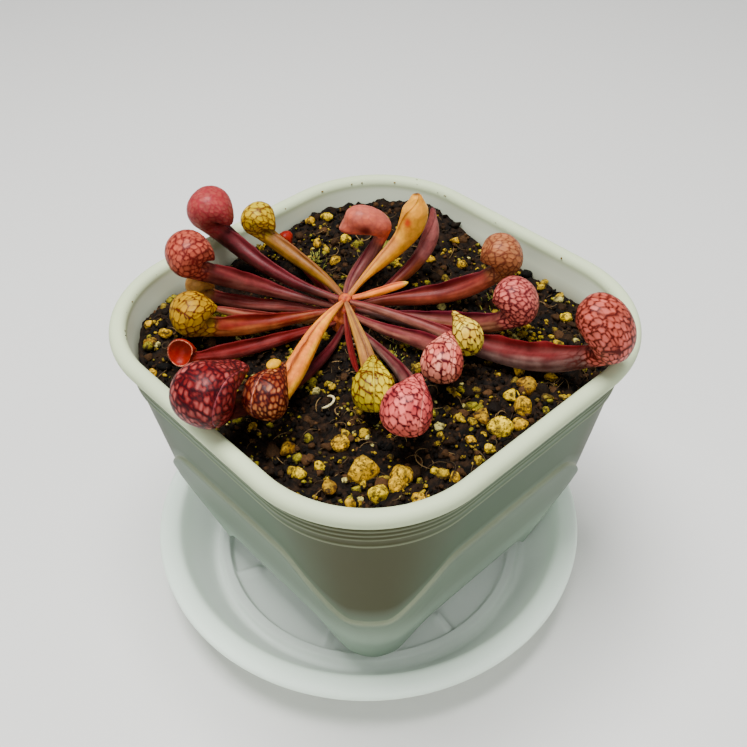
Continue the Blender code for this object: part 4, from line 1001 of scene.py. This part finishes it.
def make_soil(ground, peat):
    """The plug of soil: its sides follow the pot, and its top is a fan of rings drawn in
    towards the crown, raised by the ground's height and broken up into clods and crumbs."""
    mark = np.arange(SOIL_AROUND) * (MARKS / SOIL_AROUND)
    sides = []
    for height in (FLOOR_TOP + 0.3, 33.4, 50.0, 62.0, SOIL_LEVEL - 0.5):
        ring = wall_ring(height, WALL + SOIL_GAP)
        full = np.vstack([ring, ring[:1]])
        sides.append(np.stack([np.interp(mark, np.arange(MARKS + 1), line)
                               for line in full.T], -1))
    middle = np.array([CROWN_X, CROWN_Y])
    share = np.linspace(1.0, 0.03, SOIL_RINGS)[:, None, None]
    spread = middle + (sides.pop()[:, :2] - middle) * share
    x, y = spread[..., 0], spread[..., 1]
    clods = 0.55 * ripple(spread, 4.2, 3) + 0.5 * np.abs(ripple(spread, 1.9, 5))
    crumb = clods + 0.22 * np.abs(ripple(spread, 0.9, 6)) - 0.62
    crumb = crumb * ease(np.hypot(x - CROWN_X, y - CROWN_Y), 3.4, 6.0)
    top = np.stack([x, y, ground.at(x, y) + np.minimum(crumb, 0.75)], -1)
    grid = np.concatenate([np.array(sides), top])
    tone = np.clip(0.4 + 0.3 * ripple(grid, 3.0, 8) + 0.3 * ripple(grid, 0.9, 9), 0.0, 1.0)
    surface("peat_soil", grid, None, peat, replaces="soil",
            tint=mix("#060402", "#2A1A0C", tone**1.5))


def ball_shape(level):
    """Points and three-sided faces of a ball of radius one."""
    shape = bmesh.new()
    bmesh.ops.create_icosphere(shape, subdivisions=level, radius=1.0)
    mesh = bpy.data.meshes.new("ball")
    shape.to_mesh(mesh)
    shape.free()
    points = np.empty(len(mesh.vertices) * 3, np.float32)
    mesh.vertices.foreach_get("co", points)
    corners = np.empty(len(mesh.loops), np.int32)
    mesh.loops.foreach_get("vertex_index", corners)
    bpy.data.meshes.remove(mesh)
    return points.reshape(-1, 3).astype(float), corners.reshape(-1, 3)


def lumps(places, sizes, level, seed, flat=0.8, rough=0.3):
    """Uneven stones: balls pushed in and out by a ripple and cut by a few flat faces, each
    stretched and turned its own way and set at its place.  Returns points and faces."""
    draw = np.random.default_rng(seed)
    ball, faces = ball_shape(level)
    count = len(places)
    push = 1.0 + rough * ripple(ball + draw.uniform(-9.0, 9.0, (count, 1, 3)), 1.9, seed)
    body = ball * push[..., None]
    for _ in range(5):
        way = units(draw.normal(size=(count, 1, 3)))
        over = np.maximum((body * way).sum(-1) - draw.uniform(0.55, 0.9, (count, 1)), 0.0)
        body = body - way * (over * 0.85)[..., None]
    body = body * draw.uniform(0.78, 1.22, (count, 1, 3))
    turns, _ = np.linalg.qr(draw.normal(size=(count, 3, 3)))
    turns[np.linalg.det(turns) < 0.0, :, 0] *= -1.0
    body = np.einsum("nvi,nij->nvj", body, turns)
    body[..., 2] *= flat
    faces = faces + (np.arange(count) * len(ball))[:, None, None]
    return places[:, None] + body * sizes[:, None, None], [faces.reshape(-1, 3)]


def scatter(count, margin, seed, ground):
    """Chance places over the soil, at least "margin" from the wall and off the crown."""
    draw = np.random.default_rng(seed)
    x = POT_X + draw.uniform(-SCATTER_HALF, SCATTER_HALF, count * 2)
    y = POT_Y + draw.uniform(-SCATTER_HALF, SCATTER_HALF, count * 2)
    keep = inside_pot(x, y, margin) & (np.hypot(x - CROWN_X, y - CROWN_Y) > CROWN_CLEAR)
    x, y = x[keep][:count], y[keep][:count]
    return np.stack([x, y, ground.at(x, y)], -1)


def make_crumbs(ground, peat):
    """Peat lying loose on the soil: crumbs and larger clods, near black with some brown, and
    specks of it caught on the rim."""
    draw = np.random.default_rng(41)
    for name, count, small, spread, level, seed in (("peat_crumbs", 4200, 0.22, 0.6, 1, 42),
                                                    ("peat_clods", 480, 0.6, 1.0, 2, 44)):
        places = scatter(count, 1.0 + 0.5 * spread, seed, ground)
        sizes = small + spread * draw.random(len(places)) ** 2.2
        places[:, 2] += sizes * 0.1
        points, faces = lumps(places, sizes, level, seed + 1)
        tone = draw.random((len(places), 1)) ** 3.0 * np.ones(points.shape[1])
        surface(name, points, faces, peat, tint=mix("#060402", "#4A3018", tone))
    inner = rim_ring(POT_TOP - 0.9, RIM_WIDTH - 0.1)
    outer = rim_ring(POT_TOP - 0.1, RIM_WIDTH * 0.5)
    pick = draw.integers(MARKS - 1, size=90)
    along, across = draw.random((90, 1)), draw.random((90, 1)) ** 2.5
    low, high = [ring[pick] * (1.0 - along) + ring[pick + 1] * along for ring in (inner, outer)]
    places = low * (1.0 - across) + high * across
    points, faces = lumps(places, 0.1 + 0.2 * draw.random(90) ** 2, 1, 47)
    tone = draw.random((90, 1)) * np.ones(points.shape[1])
    surface("rim_specks", points, faces, peat, tint=mix("#140C04", "#7A5A1C", tone))


def make_grains(ground, stone):
    """Akadama and pumice: the large grains where the photograph shows them, and small ones by
    chance in loose drifts, from greenish yellow to brown, a few of them pale."""
    draw = np.random.default_rng(51)
    big = np.array(GRAINS)
    places = np.column_stack([big[:, :2], ground.at(big[:, 0], big[:, 1]) + 0.25 * big[:, 2]])
    points, faces = lumps(places, big[:, 2] * 1.05, 3, 52, flat=0.85, rough=0.16)
    hues = tints(("#C89600", "#E0B800", "#8E6002"))
    own = hues[draw.choice(3, len(big), p=[0.5, 0.3, 0.2])]
    surface("large_grains", points, faces, stone, tint=grain_tint(points, own, 53))
    hues = tints(("#AE8A08", "#80740C", "#5E4608", "#C0B468"))
    for name, count, sizes, level, seed in (("small_grains", 560, (0.5, 0.75, 1.15), 2, 54),
                                            ("grit", 900, (0.28, 0.38, 0.5), 1, 64)):
        places = scatter(count * 3, 1.4, seed, ground)
        drift = ripple(places[:, :2], 17.0, 58) + 0.5 * ripple(places[:, :2], 5.0, 59)
        places = places[np.argsort(draw.uniform(-1.2, 1.2, len(places)) - drift)][:count]
        radii = draw.choice(sizes, len(places), p=[0.5, 0.32, 0.18])
        places[:, 2] += radii * 0.3
        points, faces = lumps(places, radii, level, seed + 1, flat=0.85, rough=0.24)
        own = hues[draw.choice(4, len(places), p=[0.4, 0.3, 0.22, 0.08])]
        surface(name, points, faces, stone, tint=grain_tint(points, own, seed + 2))


def grain_tint(points, own, seed):
    """Each grain's own ochre, lighter on its top, and darker in patches of peat stain and
    towards where it meets the soil."""
    low = points[..., 2] - points[..., 2].mean(1, keepdims=True)
    high = low / np.maximum(low.max(1, keepdims=True), 0.01)
    base = mix(own[:, None], "#EAD22C", np.clip(0.45 * high - 0.16, 0.0, 1.0) ** 1.5)
    dirt = np.clip(0.34 + 0.5 * ripple(points, 1.1, seed) - 0.4 * high, 0.0, 0.95)
    return mix(base, "#120A03", dirt)


def strands(paths, radii, sides):
    """Thin closed tubes along many paths at once, as one array of points and its faces."""
    count, steps = paths.shape[:2]
    ways = units(np.gradient(paths, axis=1))
    helper = np.where(np.abs(ways[..., 2:]) > 0.9, (1.0, 0.0, 0.0), UP)
    side = units(np.cross(ways, helper))
    up = np.cross(side, ways)
    turn = np.arange(sides) * math.tau / sides
    ring = side[:, :, None] * np.cos(turn)[:, None] - up[:, :, None] * np.sin(turn)[:, None]
    points = paths[:, :, None] + ring * radii[:, :, None, None]
    groups = [np.concatenate([group + number * steps * sides for number in range(count)])
              for group in ring_faces(steps, sides)]
    return points, groups


def make_fibres(ground, peat):
    """Peat fibres and rootlets: short arcs lying on the soil, rising a little in the middle."""
    draw = np.random.default_rng(61)
    places = scatter(420, 3.0, 62, ground)
    each = (len(places), 1)
    run = np.linspace(-0.5, 0.5, 8)
    turn = draw.uniform(0.0, math.tau, each) + draw.normal(0.0, 1.2, each) * run
    size = draw.uniform(1.6, 6.0, each)
    x = places[:, :1] + size * run * np.cos(turn)
    y = places[:, 1:2] + size * run * np.sin(turn)
    radius = draw.uniform(0.05, 0.14, each) * (1.0 - 0.6 * np.abs(2.0 * run))
    z = ground.at(x, y) + 0.25 + draw.uniform(0.0, 0.7, each) * (1.0 - (2.0 * run) ** 2)
    points, faces = strands(np.stack([x, y, z], -1), radius, 4)
    tone = draw.random((*each, 1)) ** 1.5 * np.ones(points.shape[:3])
    surface("peat_fibres", points, faces, peat, tint=mix("#1C1410", "#8A6E44", tone))


def make_moss(ground, moss):
    """Moss: tufts of short shoots that lean out from the tuft's middle and taper to a point."""
    draw = np.random.default_rng(71)
    tufts = np.array(MOSS)
    which = draw.integers(len(tufts), size=900)
    spread = np.abs(draw.normal(0.0, 0.55, len(which))) * tufts[which, 2]
    turn = draw.uniform(0.0, math.tau, len(which))
    x = tufts[which, 0] + spread * np.cos(turn)
    y = tufts[which, 1] + spread * np.sin(turn)
    keep = inside_pot(x, y, 0.6)
    x, y, turn = x[keep, None], y[keep, None], turn[keep, None]
    rise = np.linspace(0.0, 1.0, 5)
    tall = draw.uniform(0.5, 1.5, x.shape)
    lean = draw.uniform(0.1, 0.9, x.shape) * tall * rise**1.6
    paths = np.stack([x + lean * np.cos(turn), y + lean * np.sin(turn),
                      ground.at(x, y) - 0.1 + tall * rise], -1)
    radii = 0.17 * (1.0 - rise**1.4) * np.ones(x.shape) + 0.02
    points, faces = strands(paths, radii, 4)
    tone = np.clip(draw.random((len(x), 1, 1)) * 0.6 + 0.5 * rise[None, :, None], 0.0, 1.0)
    surface("moss_tufts", points, faces, moss,
            tint=mix("#3E3F10", "#A9A83C", tone * np.ones(points.shape[:3])))


def make_litter(ground, moss):
    """Scraps on the soil: a pale ring of root, a whitish husk and bits of orange bark."""
    turn = np.linspace(0.0, 1.0, 28)
    paths = []
    for x, y, radius, start, sweep, rise, _ in LITTER:
        angle = math.radians(start) + math.radians(sweep) * turn
        x, y = x + radius * np.cos(angle), y + radius * np.sin(angle)
        paths.append(np.stack([x, y, ground.at(x, y) + 0.35 + rise * np.sin(turn * math.pi)],
                              -1))
    radii = 0.24 * np.sqrt(np.maximum(1.0 - (2.0 * turn - 1.0) ** 8, 0.05))
    points, faces = strands(np.array(paths), np.tile(radii, (len(paths), 1)), 8)
    shades = tints(row[-1] for row in LITTER)
    surface("root_and_husk", points, faces, moss,
            tint=np.broadcast_to(shades[:, None, None], points.shape))


def earthy(name, grain, roughness, pore_depth, gleam, stain=0.0):
    """Loose natural stuff, each point of which brings its own colour in "tint": damp, darker in
    its pores and lighter on its grit as painted shade and light that follow its bump, with grit of
    "grain" millimetres, and stained by peat as much as "stain"."""
    material, tree, shader = new_material(name, roughness, Specular_IOR_Level=gleam)
    place = point_place(tree)
    scale = 1.0 / (grain * MM)
    grit = node(tree, "TexNoise", {"Scale": scale, "Detail": 4.0, "Roughness": 0.65}, place)
    own = node(tree, "Attribute", {"attribute_name": "tint"})
    # Painted shade and light: darker where the bump sinks into pores, lighter on its grit.
    colour = shaded(tree, own, grit, 0.3, 0.7, 0.45, 1.35)
    patch = node(tree, "TexNoise", {"Scale": 0.8 * scale, "Detail": 5.0, "Roughness": 0.7},
                 place)
    share = node(tree, "MapRange", {"From Min": 0.47, "From Max": 0.58, "To Max": stain},
                 {"Value": patch})
    soiled = node(tree, "Mix", {"data_type": "RGBA", 7: linear("#1C0C03")},
                  {0: share, 6: colour})
    bump = node(tree, "Bump", {"Strength": 0.8, "Distance": pore_depth * MM}, {"Height": grit})
    connect(tree, shader, {"Base Color": soiled.outputs[2], "Normal": bump})
    return material


def face(item, place, aim, level, roll_deg=0.0):
    """Stand an item at a place in metres, looking at a point, square to the direction "level"
    and then rolled by a small angle."""
    back = units(np.array(place) - np.array(aim))
    right = units(np.cross(level, back))
    up = np.cross(back, right)
    cos, sin = math.cos(math.radians(roll_deg)), math.sin(math.radians(roll_deg))
    axes = np.column_stack([right * cos + up * sin, up * cos - right * sin, back, place])
    item.matrix_world = Matrix([*axes.tolist(), (0.0, 0.0, 0.0, 1.0)])


def make_stage():
    """A plain floor that the saucer stands on, of pale matt paper that gives back light
    without a gleam, with soft light from above and a dim pale sky."""
    mesh = bpy.data.meshes.new("floor")
    mesh.from_pydata([(-2.0, -2.0, 0.0), (2.0, -2.0, 0.0), (2.0, 2.0, 0.0), (-2.0, 2.0, 0.0)],
                     [], [(0, 1, 2, 3)])
    material = new_material("matt_paper", 0.9, Base_Color=linear("#D9D8D4"))[0]
    mesh.materials.append(material)
    put("floor", mesh)
    for name, (place, aim, size, power) in LAMPS.items():
        lamp = bpy.data.lights.new(name, "AREA")
        lamp.size = size
        lamp.energy = power
        face(put(name, lamp), place, aim, (0.0, 1.0, 0.0))
    world = bpy.data.worlds.new("pale_room")
    bpy.context.scene.world = world
    world.use_nodes = True
    sky = world.node_tree.nodes["Background"]
    sky.inputs["Color"].default_value = linear("#E8ECEF")
    sky.inputs["Strength"].default_value = 0.34


def make_camera():
    """The camera where the photograph was taken from, rolled by a small angle."""
    lens = bpy.data.cameras.new("camera")
    lens.lens = LENS
    lens.sensor_width = SENSOR
    lens.sensor_fit = "HORIZONTAL"
    lens.clip_start = 0.01
    camera = put("camera", lens)
    face(camera, np.array(CAMERA_PLACE) * MM, np.array(CAMERA_AIM) * MM, UP, CAMERA_ROLL_DEG)
    bpy.context.scene.camera = camera


def main():
    """Dress the part from the saucer up."""
    make_camera()
    make_stage()
    make_saucer(moulded_plastic("moulded_saucer_plastic"))
    make_pot(moulded_plastic("moulded_pot_plastic"))
    skin = pitcher_skin()
    leaves = []
    for rows, lines, first in ((PITCHERS, pitcher_lines, 0), (SHOOTS, shoot_lines, 40)):
        for number, (name, (*own, more)) in enumerate(rows.items(), first):
            leaf = {**USUAL, **dict(zip(COLUMNS, own)), **more}
            leaves.append(make_leaf(name, leaf, lines, skin, number))
    make_crown(skin)
    make_bud(skin)
    ground = Ground(np.vstack(leaves))
    # Peat looks damp and near black, with deep pores and hardly a gleam.
    peat = earthy("damp_peat", grain=0.6, roughness=0.75, pore_depth=0.4, gleam=0.1)
    # The fired and volcanic grains look dry, chalky and stained.
    stone = earthy("porous_clay_grain", grain=0.7, roughness=0.88, pore_depth=0.3, gleam=0.2,
                   stain=0.9)
    # Moss, root and husk look soft and alive, smooth with a faint gloss.
    moss = earthy("living_moss", grain=0.5, roughness=0.7, pore_depth=0.03, gleam=0.4)
    make_soil(ground, peat)
    make_crumbs(ground, peat)
    make_grains(ground, stone)
    make_fibres(ground, peat)
    make_moss(ground, moss)
    make_litter(ground, moss)


main()
